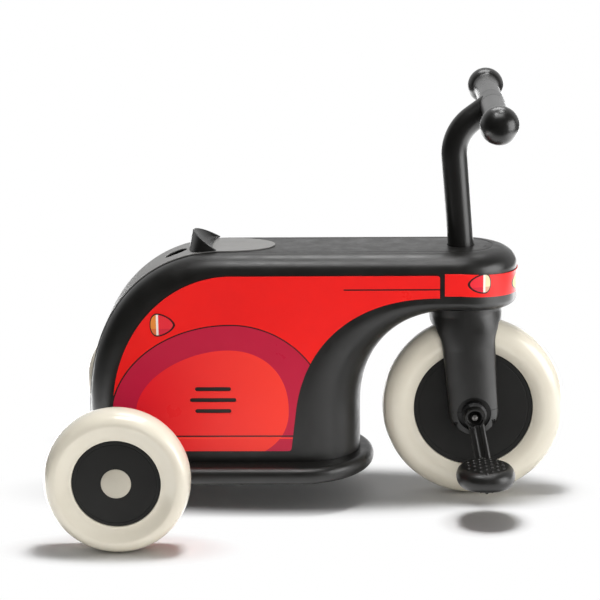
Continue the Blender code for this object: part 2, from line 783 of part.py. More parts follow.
def plate_outline():
    nose_x = FRONT_AXLE_X - FRONT_RADIUS - PLATE_CLEARANCE - PLATE_NOSE
    front = arc((nose_x, 0), (PLATE_NOSE, PLATE_HALF_WIDTH), 2, -90, 90, 16)
    back_x = REAR_AXLE_X - PLATE_OVERHANG + PLATE_CORNER
    side_y = PLATE_HALF_WIDTH - PLATE_CORNER
    left = round_arc((back_x, side_y), PLATE_CORNER, 90, 180, 5)
    right = round_arc((back_x, -side_y), PLATE_CORNER, 180, 270, 5)
    return [*front[:-1], *left, *right[:-1]]


def cut_pockets(plate):
    """Pockets between ribs, inside the rows of screws."""
    start_x = REAR_AXLE_X - PLATE_OVERHANG + POCKET_BACK_MARGIN
    end_x = FRONT_AXLE_X - FRONT_RADIUS - PLATE_CLEARANCE - POCKET_FRONT_MARGIN
    half_width = SCREW_Y - SCREW_HEAD_RADIUS - PLATE_RIB / 2
    pitch_x = (end_x - start_x) / POCKET_ROWS
    pitch_y = 2 * half_width / POCKET_COLUMNS
    for row in range(POCKET_ROWS):
        for column in range(POCKET_COLUMNS):
            x = start_x + row * pitch_x
            y = column * pitch_y - half_width
            low = (x + PLATE_RIB / 2, y + PLATE_RIB / 2, PLATE_BOTTOM - OVERCUT)
            high = (x + pitch_x - PLATE_RIB / 2, y + pitch_y - PLATE_RIB / 2, PLATE_TOP - PLATE_SKIN)
            name = f"pocket_{row}_{column}"
            cut(plate, name, box(name, low, high))


def screw_profile(radius, length, tip, head_radius, head_height):
    """A pan head below the origin and a shank above it."""
    return [
        (0.0, length),
        (radius * 0.6, length),
        (radius, length - tip),
        (radius, 0.0),
        (head_radius, 0.0),
        (head_radius, -head_height * 0.6),
        (head_radius * 0.7, -head_height),
        (0.0, -head_height),
    ]


def make_base_plate():
    slab = prism("base_plate", plate_outline(), PLATE_BOTTOM, PLATE_TOP, "XY")
    plate = place("base_plate", slab, BLACK_PLASTIC)
    bevel(plate, (PLATE_THICKNESS - PLATE_RIM_FLAT) / 2, 3, 60)
    cut_pockets(plate)
    profile = screw_profile(SCREW_RADIUS, SCREW_LENGTH, SCREW_TIP, SCREW_HEAD_RADIUS, SCREW_HEAD_HEIGHT)
    for i, (x, y) in enumerate(SCREW_SPOTS):
        holes = (
            ("shank", SCREW_RADIUS, PLATE_TOP + OVERCUT, SCREW_SEGMENTS),
            ("head", SCREW_HEAD_RADIUS, SCREW_SEAT, SMALL_SEGMENTS),
        )
        for kind, radius, end, segments in holes:
            name = f"plate_screw_{kind}_{i}"
            start = PLATE_BOTTOM - OVERCUT
            cut(plate, name, cylinder(name, radius + FIT_GAP, start, end, "Z", (x, y), segments))
        screw = turned(f"base_screw_{i + 1}", profile, BARE_STEEL, segments=SCREW_SEGMENTS)
        screw.location = (x, y, SCREW_SEAT - FIT_GAP)


# Red side panels with three vent slots


def panel_outline():
    (tail_x, tail_z), (tail_length, tail_height), tail_power = TAIL_EDGE
    (arch_x, arch_z), (arch_length, arch_height), arch_power = ARCH_EDGE
    tail_reach = (tail_length - PANEL_TAIL_INSET, tail_height - PANEL_TOP_INSET)
    arch_reach = (arch_length + PANEL_ARCH_INSET, arch_height + PANEL_ARCH_RISE)
    tail = arc((tail_x, tail_z), tail_reach, tail_power, 90, 180, 12)
    arch = arc((arch_x, arch_z), arch_reach, arch_power, 170, 90, 10)
    back_x, foot_x, front_x = tail[-1][0], PILLAR_X - PANEL_FOOT_INSET, HEAD_X - PANEL_FRONT_INSET
    top, low = tail[0][1], arch[-1][1]
    return [
        *tail,
        (back_x, PANEL_BOTTOM + PANEL_CORNER),
        (back_x + PANEL_CORNER, PANEL_BOTTOM),
        (foot_x - PANEL_CORNER, PANEL_BOTTOM),
        (foot_x, PANEL_BOTTOM + PANEL_CORNER),
        *arch[:-1],
        (front_x - PANEL_CORNER / 2, low),
        (front_x, low + PANEL_CORNER / 2),
        (front_x, top - PANEL_CORNER / 2),
        (front_x - PANEL_CORNER / 2, top),
    ]


def make_side_panel(name, side):
    """The panel on one side of the body, where side is -1 for the right."""
    inner, outer = side * (BODY_HALF_WIDTH + FIT_GAP), side * PANEL_OUTSIDE
    panel = place(name, prism(name, panel_outline(), inner, outer), RED_PANEL)
    ends = (inner - side * PANEL_THICKNESS, outer + side * PANEL_THICKNESS)
    for i, length in enumerate((VENT_SHORT, VENT_LONG, VENT_SHORT)):
        centre = (REAR_AXLE_X + VENT_FORWARD, VENT_TOP - i * VENT_PITCH)
        cut_name = f"{name}_vent_{i}"
        cut(panel, cut_name, prism(cut_name, slot_outline(centre, length, VENT_HEIGHT), *ends))
    hole_name = f"{name}_axle_hole"
    radius = AXLE_TUBE_RADIUS + PANEL_HOLE_MARGIN
    cut(panel, hole_name, cylinder(hole_name, radius, *ends, at=(REAR_AXLE_X, REAR_RADIUS)))


# Thin pieces on the body: open strips that follow its surface, thickened outward


def make_nose_band():
    """A red band round the head that dips with the fork's lean towards the nose."""
    side_y = BODY_HALF_WIDTH + FIT_GAP
    nose = arc((HEAD_X, 0), (HEAD_LENGTH + FIT_GAP, side_y), 2, 90, 0, 9)
    path = [(HEAD_X - BAND_BACK_INSET, side_y), *nose]
    path[-1] = (path[-1][0], 0.0)

    def build(bm):
        columns = []
        for x, y in path:
            column = [bm.verts.new((x, y, z - head_lean(x))) for z in (BAND_TOP, BAND_BOTTOM)]
            columns.append(column)
        skin_rows(bm, columns)

    band = place("nose_band", mesh_from("nose_band", build), RED_PANEL)
    mirror_half(band)
    thicken(band, PANEL_THICKNESS, strip_offset(band, Vector((1, 0, 0))))


def strip_offset(obj, outward):
    """The Solidify offset that thickens an open strip on the side of its last face that points outward."""
    return 1 if obj.data.polygons[-1].normal.dot(outward) > 0 else -1


def make_seat_inlay():
    """A thin grey strip from the foot of the tail up over it, with an oval front end on the seat."""
    half_width = SEAT_HALF_WIDTH - INLAY_MARGIN
    stations = [((TAIL_X, PANEL_BOTTOM), (-1, 0), half_width)]
    steps = 14
    for i in range(steps + 1):
        angle = math.radians(180 - 90 * i / steps)
        (_, _), (reach_x, reach_z), power = TAIL_LINE
        slope = (math.cos(angle), math.sin(angle))
        steep = 2 - 2 / power
        normal = (-(abs(slope[0]) ** steep) / reach_x, abs(slope[1]) ** steep / reach_z)
        stations.append((superellipse(*TAIL_LINE, angle), normal, half_width))
    front_x = REAR_AXLE_X + INLAY_FORWARD
    for share in (1 / 6, 2 / 6, 3 / 6, 4 / 6, 5 / 6, 1):
        x = front_x - INLAY_OVAL_LENGTH * (1 - math.sin(share * math.pi / 2))
        stations.append(((x, SEAT_HEIGHT), (0, 1), half_width * math.cos(share * math.pi / 2)))

    def build(bm):
        rows = []
        for (x, z), normal, width in stations:
            lift = Vector(normal).normalized() * FIT_GAP
            middle = bm.verts.new((x + lift.x, 0.0, z + lift.y))
            is_tip = width < INLAY_MARGIN
            rows.append([middle] if is_tip else [middle, bm.verts.new((x + lift.x, width, z + lift.y))])
        skin_rows(bm, rows[:-1])
        bm.faces.new([rows[-2][0], rows[-2][1], rows[-1][0]])

    inlay = place("seat_inlay", mesh_from("seat_inlay", build), GREY_INLAY)
    mirror_half(inlay)
    thicken(inlay, PANEL_THICKNESS, strip_offset(inlay, Vector((0, 0, 1))))
    cut(inlay, "inlay_hole", tail_hole_mesh("inlay_hole"))


def make_tail_lip():
    """A horseshoe back stop: its rim falls from the back to two tips, with a hollowed ramp inside."""
    tip_x = REAR_AXLE_X + LIP_FORWARD
    steps = 8
    lift = PANEL_THICKNESS + 3.5 * FIT_GAP
    ramp_reach = (LIP_RAMP_LENGTH, SEAT_HALF_WIDTH - LIP_RAMP_INSET)

    def build(bm):
        rows = []
        for i in range(steps + 1):
            angle = math.radians(90 + 90 * i / steps)
            on_middle = i == steps
            foot = superellipse((tip_x, 0), (LIP_FOOT_LENGTH, SEAT_HALF_WIDTH), 2.8, angle)
            crest_reach = (LIP_CREST_LENGTH, SEAT_HALF_WIDTH - LIP_CREST_INSET)
            x, y = superellipse((tip_x, 0), crest_reach, 1.8, angle)
            height = LIP_HEIGHT * (tip_x - x) / LIP_CREST_LENGTH + LIP_EDGE
            inset = Vector((tip_x - x, -y, 0)).normalized() * LIP_RIM
            ramp_x, ramp_y = superellipse((tip_x, 0), ramp_reach, 2.0, angle)
            crest = Vector((x, y, SEAT_HEIGHT + lift + height))
            inner = crest + inset
            ramp = Vector((min(ramp_x, tip_x - LIP_CREST_INSET), ramp_y, SEAT_HEIGHT + lift + LIP_EDGE))
            row = [Vector((*foot, surface_top(foot[0]) + lift)), crest, inner]
            for share in (0.3, 0.65):
                sag = Vector((0, 0, -0.35 * height * math.sin(math.pi * share)))
                row.append(inner.lerp(ramp, share) + sag)
            row.append(ramp)
            row.append(Vector((ramp.x, ramp.y, surface_top(ramp.x) + lift)))
            rows.append([bm.verts.new((p.x, 0.0 if on_middle else p.y, p.z)) for p in row])
        skin_rows(bm, rows, closed=True)
        bm.faces.new(rows[0])

    mirror_half(place("tail_lip", mesh_from("tail_lip", build, 25), GRIP_PLASTIC))


# Bushes and rear axle


def make_head_bushes():
    top = HEAD_TOP - BUSH_DROP
    upper = ring_profile(UPPER_BUSH_RADIUS, STEM_RADIUS + RUNNING_GAP, top, top - UPPER_BUSH_LENGTH)
    turned("upper_head_bush", upper, BUSH_NYLON, HEAD_FRAME)
    low = CROWN_TOP + RUNNING_GAP
    lower = ring_profile(LOWER_BUSH_RADIUS, STEERER_RADIUS + RUNNING_GAP, low + LOWER_BUSH_LENGTH, low)
    turned("lower_head_bush", lower, BUSH_NYLON, HEAD_FRAME)


def tube_bush_profile():
    """A flanged bush that plugs the axle tube's end and carries the rod."""
    bore = AXLE_RADIUS + FIT_GAP
    flange = AXLE_TUBE_RADIUS - FIT_GAP
    plug = AXLE_TUBE_RADIUS - AXLE_TUBE_WALL - FIT_GAP
    low, ledge = TUBE_BUSH_END - TUBE_BUSH_LENGTH, TUBE_BUSH_END - TUBE_BUSH_FLANGE
    outside = [(flange, TUBE_BUSH_END), (flange, ledge), (plug, ledge), (plug, low)]
    return [*outside, (bore, low), (bore, TUBE_BUSH_END)]


def make_rear_axle():
    def on_axle(obj, y=0.0, side=1):
        return along_y(obj, REAR_AXLE_X, REAR_RADIUS, y, side)

    tube_bore = AXLE_TUBE_RADIUS - AXLE_TUBE_WALL
    tube_wall = ring_profile(AXLE_TUBE_RADIUS, tube_bore, AXLE_TUBE_END, -AXLE_TUBE_END)
    on_axle(turned("rear_axle_tube", tube_wall, BLACK_PAINT, segments=TUBE_SEGMENTS))
    rod = rod_profile(AXLE_RADIUS, AXLE_END, -AXLE_END)
    on_axle(turned("rear_axle", rod, BARE_STEEL, segments=SMALL_SEGMENTS))
    bore = AXLE_RADIUS + FIT_GAP
    for name, side in SIDES:
        bush = turned(f"tube_bush_{name}", tube_bush_profile(), BUSH_NYLON, segments=SMALL_SEGMENTS)
        on_axle(bush, 0, side)
        washer = ring_profile(NUT_RADIUS + 2 * FIT_GAP, bore, WASHER_THICKNESS, 0.0)
        disc = turned(f"axle_washer_{name}", washer, BARE_STEEL, segments=SMALL_SEGMENTS)
        on_axle(disc, side * (WHEEL_Y + WASHER_FACE), side)
        hexagon = cylinder("nut", NUT_RADIUS, 0, NUT_HEIGHT, "Z", segments=6)
        nut = place(f"axle_nut_{name}", hexagon, BARE_STEEL)
        on_axle(nut, side * (WHEEL_Y + NUT_FACE), side)
        drill = cylinder("nut_bore", bore, -OVERCUT, NUT_HEIGHT + OVERCUT, "Z", segments=SMALL_SEGMENTS)
        cut(nut, f"nut_bore_{name}", drill, nut)


# Wheels: a turned tyre on a hub of two halves


def tyre_profile(radius, disc_radius, crown, dip, fullness):
    """The middle of the tread to the bead on one side, and its reflection."""
    side = radius - crown
    half = arc((side, 0), (crown, TYRE_HALF_WIDTH), fullness, 0, 90, 3)
    half[0] = (radius, 0.0)
    bead_radius = disc_radius + FIT_GAP
    bead_width = DISC_FACE + BEAD_LIP
    for share in (0.5, 1.0):
        reach = side + (bead_radius + BEAD_ROUND - side) * share
        width = TYRE_HALF_WIDTH + (bead_width - TYRE_HALF_WIDTH) * share
        half.append((reach, width - dip * math.sin(math.pi * share)))
    ledge = DISC_FACE - DISC_THICKNESS - FIT_GAP
    half += [(bead_radius, bead_width - BEAD_ROUND), (bead_radius, ledge), (disc_radius - BEAD_DEPTH, ledge)]
    return [*half[:0:-1], *[(reach, -width) for reach, width in half]]


def hub_half_profile(disc_radius, bore, recess_radius=0.0):
    """One half of a hub: a flat disc over a core that fills the tyre, from the split outward."""
    core = disc_radius - BEAD_DEPTH - FIT_GAP
    inner_face = DISC_FACE - DISC_THICKNESS
    profile = [(disc_radius, DISC_FACE), (disc_radius, inner_face), (core, inner_face)]
    profile += [(core, FIT_GAP / 2), (bore, FIT_GAP / 2)]
    if recess_radius:
        floor = HUB_POCKET_FLOOR
        return [*profile, (bore, floor), (recess_radius, floor), (recess_radius, DISC_FACE)]
    return [*profile, (bore, DISC_FACE)]


def hub_cap_profile(recess):
    """A domed button with a thin skirt that plugs the outer hub's recess."""
    low = DISC_FACE + FIT_GAP
    skirt = recess - FIT_GAP
    dome = [(0.0, 1.0), (0.62, 0.86), (0.9, 0.5)]
    profile = [(HUB_CAP_RADIUS * reach, low + HUB_CAP_CROWN * rise) for reach, rise in dome]
    profile += [(HUB_CAP_RADIUS, low + HUB_CAP_EDGE), (HUB_CAP_RADIUS, low), (skirt, low)]
    profile += [(skirt, low - HUB_CAP_SKIRT), (skirt - HUB_CAP_WALL, low - HUB_CAP_SKIRT)]
    return [*profile, (skirt - HUB_CAP_WALL, low), (0.0, low)]


def make_rear_wheel(name, side):
    centre = (REAR_AXLE_X, side * WHEEL_Y, REAR_RADIUS)
    axis = pivot(f"rear_wheel_{name}_axis", centre, (-side * math.pi / 2, 0, 0))
    tread = tyre_profile(REAR_RADIUS, REAR_DISC_RADIUS, REAR_TREAD_CROWN, REAR_SIDE_DIP, 2.4)
    turned(f"rear_tyre_{name}", tread, CREAM_TYRE, axis, REAR_SEGMENTS)
    bore = AXLE_RADIUS + RUNNING_GAP
    recess = HUB_CAP_RADIUS - OVERCUT
    outer = hub_half_profile(REAR_DISC_RADIUS, bore, recess)
    turned(f"rear_hub_outer_{name}", outer, HUB_BLACK, axis, REAR_SEGMENTS)
    inner_half = hub_half_profile(REAR_DISC_RADIUS, bore)
    inner = turned(f"rear_hub_inner_{name}", inner_half, HUB_BLACK, axis, REAR_SEGMENTS)
    inner.rotation_euler = (math.pi, 0, 0)
    turned(f"rear_hub_cap_{name}", hub_cap_profile(recess), CREAM_CAP, axis, TUBE_SEGMENTS)


def make_front_wheel(axis):
    tread = tyre_profile(FRONT_RADIUS, FRONT_DISC_RADIUS, FRONT_TREAD_CROWN, FRONT_SIDE_DIP, 2.2)
    turned("front_tyre", tread, CREAM_TYRE, axis, FRONT_SEGMENTS)
    for name, side in SIDES:
        profile = hub_half_profile(FRONT_DISC_RADIUS, CRANK_AXLE_RADIUS + FIT_GAP)
        half = turned(f"front_hub_{name}", profile, HUB_BLACK, axis, FRONT_SEGMENTS)
        half.rotation_euler = (0 if side == 1 else math.pi, 0, 0)
    end = CRANK_OUTER + CRANK_ROOT_PROUD - HOOD_DEPTH - FIT_GAP
    dome = [(0, 1), (0.7, 0.75), (1, 0)]
    outside = [(AXLE_DOME_RADIUS * reach, end + AXLE_DOME_HEIGHT * rise) for reach, rise in dome]
    outside.append((CRANK_AXLE_RADIUS, end))
    rod = [*outside, *[(radius, -height) for radius, height in reversed(outside)]]
    turned("crank_axle", rod, BARE_STEEL, axis, SMALL_SEGMENTS)


# Fork: a crown cylinder about the steering axis that narrows into two legs


def fork_half_width(height):
    """Half the fork's width seen from the side, at a height along the steering axis."""
    flare = CROWN_WAIST - FLARE_LENGTH
    if height >= CROWN_WAIST:
        return CROWN_RADIUS
    if height <= flare:
        return LEG_LOW_HALF_WIDTH + (LEG_TOP_HALF_WIDTH - LEG_LOW_HALF_WIDTH) * max(0.0, height) / flare
    share = (height - flare) / FLARE_LENGTH
    return LEG_TOP_HALF_WIDTH + (CROWN_RADIUS - LEG_TOP_HALF_WIDTH) * share * share * (1.6 - 0.6 * share)


def fork_side_outline():
    flare = CROWN_WAIST - FLARE_LENGTH
    heights = [0.0, *[flare + FLARE_LENGTH * i / 6 for i in range(7)], CROWN_TOP + OVERCUT]
    right = [(fork_half_width(height), height) for height in heights]
    return [*right, *[(-x, z) for x, z in reversed(right)]]


def wheel_slot_outline():
    """The gap between the legs, seen from the front, with small fillets under the crown."""
    x, z = LEG_INNER - CROWN_FILLET, CROWN_UNDERSIDE - CROWN_FILLET
    right = round_arc((x, z), CROWN_FILLET, 0, 90, 3)
    left = round_arc((-x, z), CROWN_FILLET, 90, 180, 3)
    foot = -2 * LEG_TIP
    return [(LEG_INNER, foot), *right, *left, (-LEG_INNER, foot)]


def axle_cuts(obj, name):
    """The axle bush's bore and the round recess on each side's outer face."""
    reach = CROWN_RADIUS + OVERCUT
    bore = cylinder(f"{name}_axle_bore", AXLE_BUSH_RADIUS + FIT_GAP, -reach, reach)
    cut(obj, f"{name}_axle_bore", bore, STEERING)
    for side_name, side in SIDES:
        boss = f"{name}_boss_{side_name}"
        ends = (side * (CROWN_RADIUS - BOSS_DEPTH), side * reach)
        cut(obj, boss, cylinder(boss, BOSS_RADIUS, *ends), STEERING)


def cap_screw_spots(side):
    y = side * CAP_SCREW_Y
    return [("rear", (-CAP_SCREW_SPREAD, y)), ("front", (CAP_SCREW_SPREAD, y))]


def make_fork():
    """The crown's cylinder, cut to the side outline, slotted for the wheel and bored for the stem."""
    body = cylinder("fork", CROWN_RADIUS, CAP_SEAM, CROWN_TOP, "Z", segments=FRONT_SEGMENTS)
    fork = place("fork", body, BLACK_PLASTIC, STEERING)
    reach = CROWN_RADIUS + OVERCUT
    side_cut = cutter("fork_side", prism("fork_side", fork_side_outline(), -reach, reach), STEERING)
    boolean(fork, side_cut, "INTERSECT")
    steerer = cylinder("steerer_sleeve", STEERER_RADIUS, CROWN_TOP - OVERCUT, STEERER_TOP, "Z")
    add(fork, "steerer_sleeve", steerer, STEERING)
    cut(fork, "wheel_slot", prism("wheel_slot", wheel_slot_outline(), -reach, reach, "YZ"), STEERING)
    stem_bore = cylinder("stem_bore", STEM_RADIUS + FIT_GAP, STEM_FOOT - FIT_GAP, STEERER_TOP + OVERCUT, "Z")
    cut(fork, "stem_bore", stem_bore, STEERING)
    bolt_bore = cylinder(
        "bolt_bore", BOLT_RADIUS + FIT_GAP, CROWN_WAIST, STEM_FOOT + OVERCUT, "Z", segments=SMALL_SEGMENTS
    )
    cut(fork, "bolt_bore", bolt_bore, STEERING)
    axle_cuts(fork, "fork")
    top = CAP_SCREW_LENGTH - CAP_SCREW_SEAT + OVERCUT
    for side_name, side in SIDES:
        for place_name, spot in cap_screw_spots(side):
            name = f"fork_pilot_{side_name}_{place_name}"
            radius = CAP_SCREW_RADIUS + FIT_GAP
            pilot = cylinder(name, radius, CAP_SEAM - OVERCUT, top, "Z", spot, SCREW_SEGMENTS)
            cut(fork, name, pilot, STEERING)


def make_fork_cap(side_name, side):
    """The lower half of a fork end, screwed up against the leg to hold the axle bush."""
    name = f"fork_cap_{side_name}"
    foot = -LEG_TIP - OVERCUT
    body = cylinder(name, CROWN_RADIUS, foot, CAP_SEAM - FIT_GAP, "Z", segments=FRONT_SEGMENTS)
    cap = place(name, body, BLACK_PLASTIC, STEERING)
    rounding = arc((0, 0), (LEG_LOW_HALF_WIDTH, LEG_TIP), 2.0, 180, 360, 12)
    outline = [*rounding, (LEG_LOW_HALF_WIDTH, 2 * CAP_SEAM), (-LEG_LOW_HALF_WIDTH, 2 * CAP_SEAM)]
    ends = (side * LEG_INNER, side * (CROWN_RADIUS + OVERCUT))
    boolean(cap, cutter(f"{name}_outline", prism(f"{name}_outline", outline, *ends), STEERING), "INTERSECT")
    axle_cuts(cap, name)
    for place_name, spot in cap_screw_spots(side):
        well = f"{name}_well_{place_name}"
        radius = CAP_SCREW_HEAD_RADIUS + FIT_GAP
        cut(cap, well, cylinder(well, radius, foot, -CAP_SCREW_SEAT, "Z", spot, SMALL_SEGMENTS), STEERING)
        hole = f"{name}_hole_{place_name}"
        radius = CAP_SCREW_RADIUS + FIT_GAP
        cut(cap, hole, cylinder(hole, radius, foot, 2 * CAP_SEAM, "Z", spot, SCREW_SEGMENTS), STEERING)
        shank = (CAP_SCREW_RADIUS, CAP_SCREW_LENGTH, CAP_SCREW_RADIUS)
        profile = screw_profile(*shank, CAP_SCREW_HEAD_RADIUS, CAP_SCREW_HEAD_HEIGHT)
        screw_name = f"cap_screw_{side_name}_{place_name}"
        screw = turned(screw_name, profile, BARE_STEEL, STEERING, SCREW_SEGMENTS)
        screw.location = (*spot, -CAP_SCREW_SEAT - FIT_GAP)


def make_axle_bushes():
    inner_end, outer_end = DISC_FACE + WHEEL_SIDE_GAP, CRANK_INNER - CRANK_SIDE_GAP
    seat = CROWN_RADIUS - BOSS_DEPTH + FIT_GAP
    bore = CRANK_AXLE_RADIUS + RUNNING_GAP
    flange, rounding = AXLE_BUSH_FLANGE, AXLE_BUSH_FLANGE - AXLE_BUSH_RADIUS
    profile = [(flange - rounding, outer_end), (flange, outer_end - rounding), (flange, seat)]
    profile += [(AXLE_BUSH_RADIUS, seat), (AXLE_BUSH_RADIUS, inner_end), (bore, inner_end), (bore, outer_end)]
    for name, side in SIDES:
        along_y(turned(f"axle_bush_{name}", profile, BUSH_NYLON, STEERING, TUBE_SEGMENTS), 0, 0, 0, side)


# Stem and handlebar


def bend_point(angle):
    """A point on the stem's bend, in the steering axis's own X and Z."""
    x = STEM_BEND_RADIUS * (1 - math.cos(angle))
    return x, STEM_BEND_START + STEM_BEND_RADIUS * math.sin(angle)


def past_bend(reach):
    """A point on the straight beyond the bend."""
    x, z = bend_point(STEM_BEND_ANGLE)
    return x + reach * math.sin(STEM_BEND_ANGLE), z + reach * math.cos(STEM_BEND_ANGLE)


def make_stem():
    """A bent tube, hollow all through, whose upper end is cut to sit on the crossbar."""
    steps = 7
    bend = [bend_point(STEM_BEND_ANGLE * i / steps) for i in range(steps + 1)]
    path = [(0.0, STEM_FOOT), *bend, past_bend(STEM_REACH - SADDLE_DEPTH)]
    outside = tube("handlebar_stem", path, STEM_RADIUS)
    stem = place("handlebar_stem", outside, BLACK_PAINT, STEERING)
    hollow_path = [(0.0, STEM_FOOT - STEM_RADIUS), *bend, past_bend(STEM_REACH + REACH_THROUGH)]
    cut(stem, "stem_hollow", tube("stem_hollow", hollow_path, STEM_RADIUS - STEM_WALL), STEERING)
    saddle = cylinder(
        "crossbar_saddle", CROSSBAR_RADIUS + FIT_GAP, -REACH_THROUGH, REACH_THROUGH, at=past_bend(STEM_REACH)
    )
    cut(stem, "crossbar_saddle", saddle, STEERING)


def make_stem_bolt():
    """The plug inside the stem's foot, and the bolt that pulls it down into the fork."""
    low = STEM_FOOT + FIT_GAP
    plug_top = low + PLUG_LENGTH
    plug = ring_profile(STEM_RADIUS - STEM_WALL - 3 * FIT_GAP, BOLT_RADIUS + FIT_GAP, plug_top, low)
    turned("stem_plug", plug, BARE_STEEL, STEERING, SMALL_SEGMENTS)
    head_top = CROWN_UNDERSIDE - FIT_GAP
    head_low = head_top - BOLT_HEAD_HEIGHT
    top = plug_top + OVERCUT
    bolt = [(0, top), (BOLT_RADIUS - ROD_CHAMFER, top), (BOLT_RADIUS, top - ROD_CHAMFER)]
    bolt += [(BOLT_RADIUS, head_top), (BOLT_HEAD_RADIUS, head_top), (BOLT_HEAD_RADIUS, head_low), (0, head_low)]
    turned("stem_bolt", bolt, BARE_STEEL, STEERING, SMALL_SEGMENTS)


def grip_profile():
    """A waisted sleeve that ends in a ball, from the ball's tip inward and back through the bore."""
    bore = CROSSBAR_CORE_RADIUS + FIT_GAP
    neck_angle = math.degrees(math.asin(GRIP_NECK_RADIUS / KNOB_RADIUS))
    points = round_arc((0, KNOB_CENTRE), KNOB_RADIUS, 90, 0, 4)
    points += round_arc((0, KNOB_CENTRE), KNOB_RADIUS, 0, neck_angle - 90, 3)[1:]
    points[0] = (0.0, KNOB_CENTRE + KNOB_RADIUS)
    waist = GRIP_START + 0.6 * (KNOB_CENTRE - KNOB_RADIUS - GRIP_START)
    points += [(GRIP_WAIST_RADIUS, waist), (CROSSBAR_RADIUS, GRIP_START), (bore, GRIP_START)]
    bore_end = KNOB_CENTRE - BORE_END_INSET
    return [*points, (bore, bore_end), (0.0, bore_end)]


def make_handlebar():
    """A tube, thick in the middle, with a grip pushed over each thinner end."""
    x, z = past_bend(STEM_REACH)
    core_end, shoulder = KNOB_CENTRE - CORE_END_INSET, GRIP_START - FIT_GAP
    wall = CROSSBAR_CORE_RADIUS - CROSSBAR_WALL
    half = [(CROSSBAR_CORE_RADIUS, core_end), (CROSSBAR_CORE_RADIUS, shoulder), (CROSSBAR_RADIUS, shoulder)]
    other_half = [(radius, -height) for radius, height in reversed(half)]
    bar = [*half, *other_half, (wall, -core_end), (wall, core_end)]
    along_y(turned("crossbar", bar, BLACK_PAINT, STEERING), x, z)
    for name, side in SIDES:
        along_y(turned(f"grip_{name}", grip_profile(), GRIP_PLASTIC, STEERING), x, z, 0, side)


# Cranks and pedals. An arm is drawn in its own frame: the axle at the origin and the pin below it.


def crank_outline():
    root = round_arc((0, 0), CRANK_ROOT_RADIUS, -40, 220, 12)
    end = round_arc((0, -CRANK_LENGTH), CRANK_HALF_WIDTH, 180, 360, 8)
    return [*root, *end]


def step_outward(mesh, side):
    """Slopes an arm outward between its root and its end, which both stay square to the axle."""
    bm = bmesh.new()
    bm.from_mesh(mesh)
    for height in (-CRANK_FOLD, -CRANK_END_FOLD):
        geometry = [*bm.verts, *bm.edges, *bm.faces]
        bmesh.ops.bisect_plane(bm, geom=geometry, dist=0.00001, plane_co=(0, 0, height), plane_no=(0, 0, 1))
    for vert in bm.verts:
        share = (-vert.co.z - CRANK_FOLD) / (CRANK_END_FOLD - CRANK_FOLD)
        vert.co.y += side * CRANK_RISE * min(1.0, max(0.0, share))
    bm.to_mesh(mesh)
    bm.free()
    return mesh


def make_crank(name, side, wheel_axis):
    """A crank arm with a hooded axle end and a channel, and its pin with a bulge that holds the pedal."""
    lean = -CRANK_LEAN if side < 0 else math.pi - CRANK_LEAN
    frame = pivot(f"crank_{name}_frame", (0, 0, 0), (0, lean, 0), wheel_axis)
    flat_arm = prism(f"crank_{name}", crank_outline(), side * CRANK_INNER, side * CRANK_OUTER)
    arm = place(f"crank_{name}", step_outward(flat_arm, side), BLACK_PLASTIC, frame)
    bevel(arm, CRANK_ROUNDING, 2, 50)
    proud = CRANK_OUTER + CRANK_ROOT_PROUD
    root_radius = CRANK_ROOT_RADIUS - CRANK_ROUNDING / 2
    root = cylinder("crank_root", root_radius, side * (CRANK_INNER + OVERCUT), side * proud)
    add(arm, f"crank_root_{name}", root, frame)
    channel_length = CRANK_LENGTH - CHANNEL_END
    channel = slot_outline((-channel_length / 2, 0), channel_length, 2 * CHANNEL_HALF_WIDTH)
    slot_ends = (side * (CRANK_OUTER - CHANNEL_DEPTH), side * (proud + OVERCUT))
    groove = prism("crank_channel", [(z, x) for x, z in channel], *slot_ends)
    cut(arm, f"crank_channel_{name}", step_outward(groove, side), frame)
    drills = (
        ("hood", HOOD_RADIUS, proud - HOOD_DEPTH, proud + OVERCUT, 0.0, SEGMENTS),
        ("axle", CRANK_AXLE_RADIUS + FIT_GAP, CRANK_INNER - OVERCUT, proud + OVERCUT, 0.0, SMALL_SEGMENTS),
        ("pin", PEDAL_PIN_RADIUS + FIT_GAP, CRANK_INNER, PEDAL_INNER, -CRANK_LENGTH, SMALL_SEGMENTS),
    )
    for kind, radius, start, end, z, segments in drills:
        drill = cylinder(kind, radius, side * start, side * end, at=(0, z), segments=segments)
        cut(arm, f"crank_{kind}_bore_{name}", drill, frame)
    pin = turned(f"pedal_pin_{name}", pedal_pin_profile(), BARE_STEEL, frame, SMALL_SEGMENTS)
    along_y(pin, 0, -CRANK_LENGTH, 0, side)
    x, z = -CRANK_LENGTH * math.sin(lean), -CRANK_LENGTH * math.cos(lean)
    return pivot(f"pedal_{name}_axis", (x, side * (PEDAL_INNER + PEDAL_HALF_WIDTH), z), parent=wheel_axis)


def pedal_pin_profile():
    """A pin from the arm's inner face into the pedal, with a bulge near its end."""
    end, start = PEDAL_INNER + PEDAL_BORE_DEPTH, CRANK_INNER + CRANK_RISE + FIT_GAP
    radius, bulge = PEDAL_PIN_RADIUS, PEDAL_PIN_RADIUS + SNAP_BULGE
    tip = [(0, end), (radius - ROD_CHAMFER, end)]
    snap = [(bulge, end - 2 * ROD_CHAMFER), (bulge, end - 3 * ROD_CHAMFER), (radius, end - 4.5 * ROD_CHAMFER)]
    return [*tip, *snap, (radius, start), (0, start)]


def pedal_bore_profile():
    """The blind bore round the pin, from the pedal's inner end, with room for the pin's bulge."""
    gap = PEDAL_PIN_RADIUS + RUNNING_GAP
    depth = PEDAL_BORE_DEPTH + ROD_CHAMFER
    snap = depth - 6.5 * ROD_CHAMFER
    wide = gap + SNAP_BULGE
    return [(0, depth), (wide, depth), (wide, snap), (gap, snap - SNAP_BULGE), (gap, -OVERCUT), (0, -OVERCUT)]


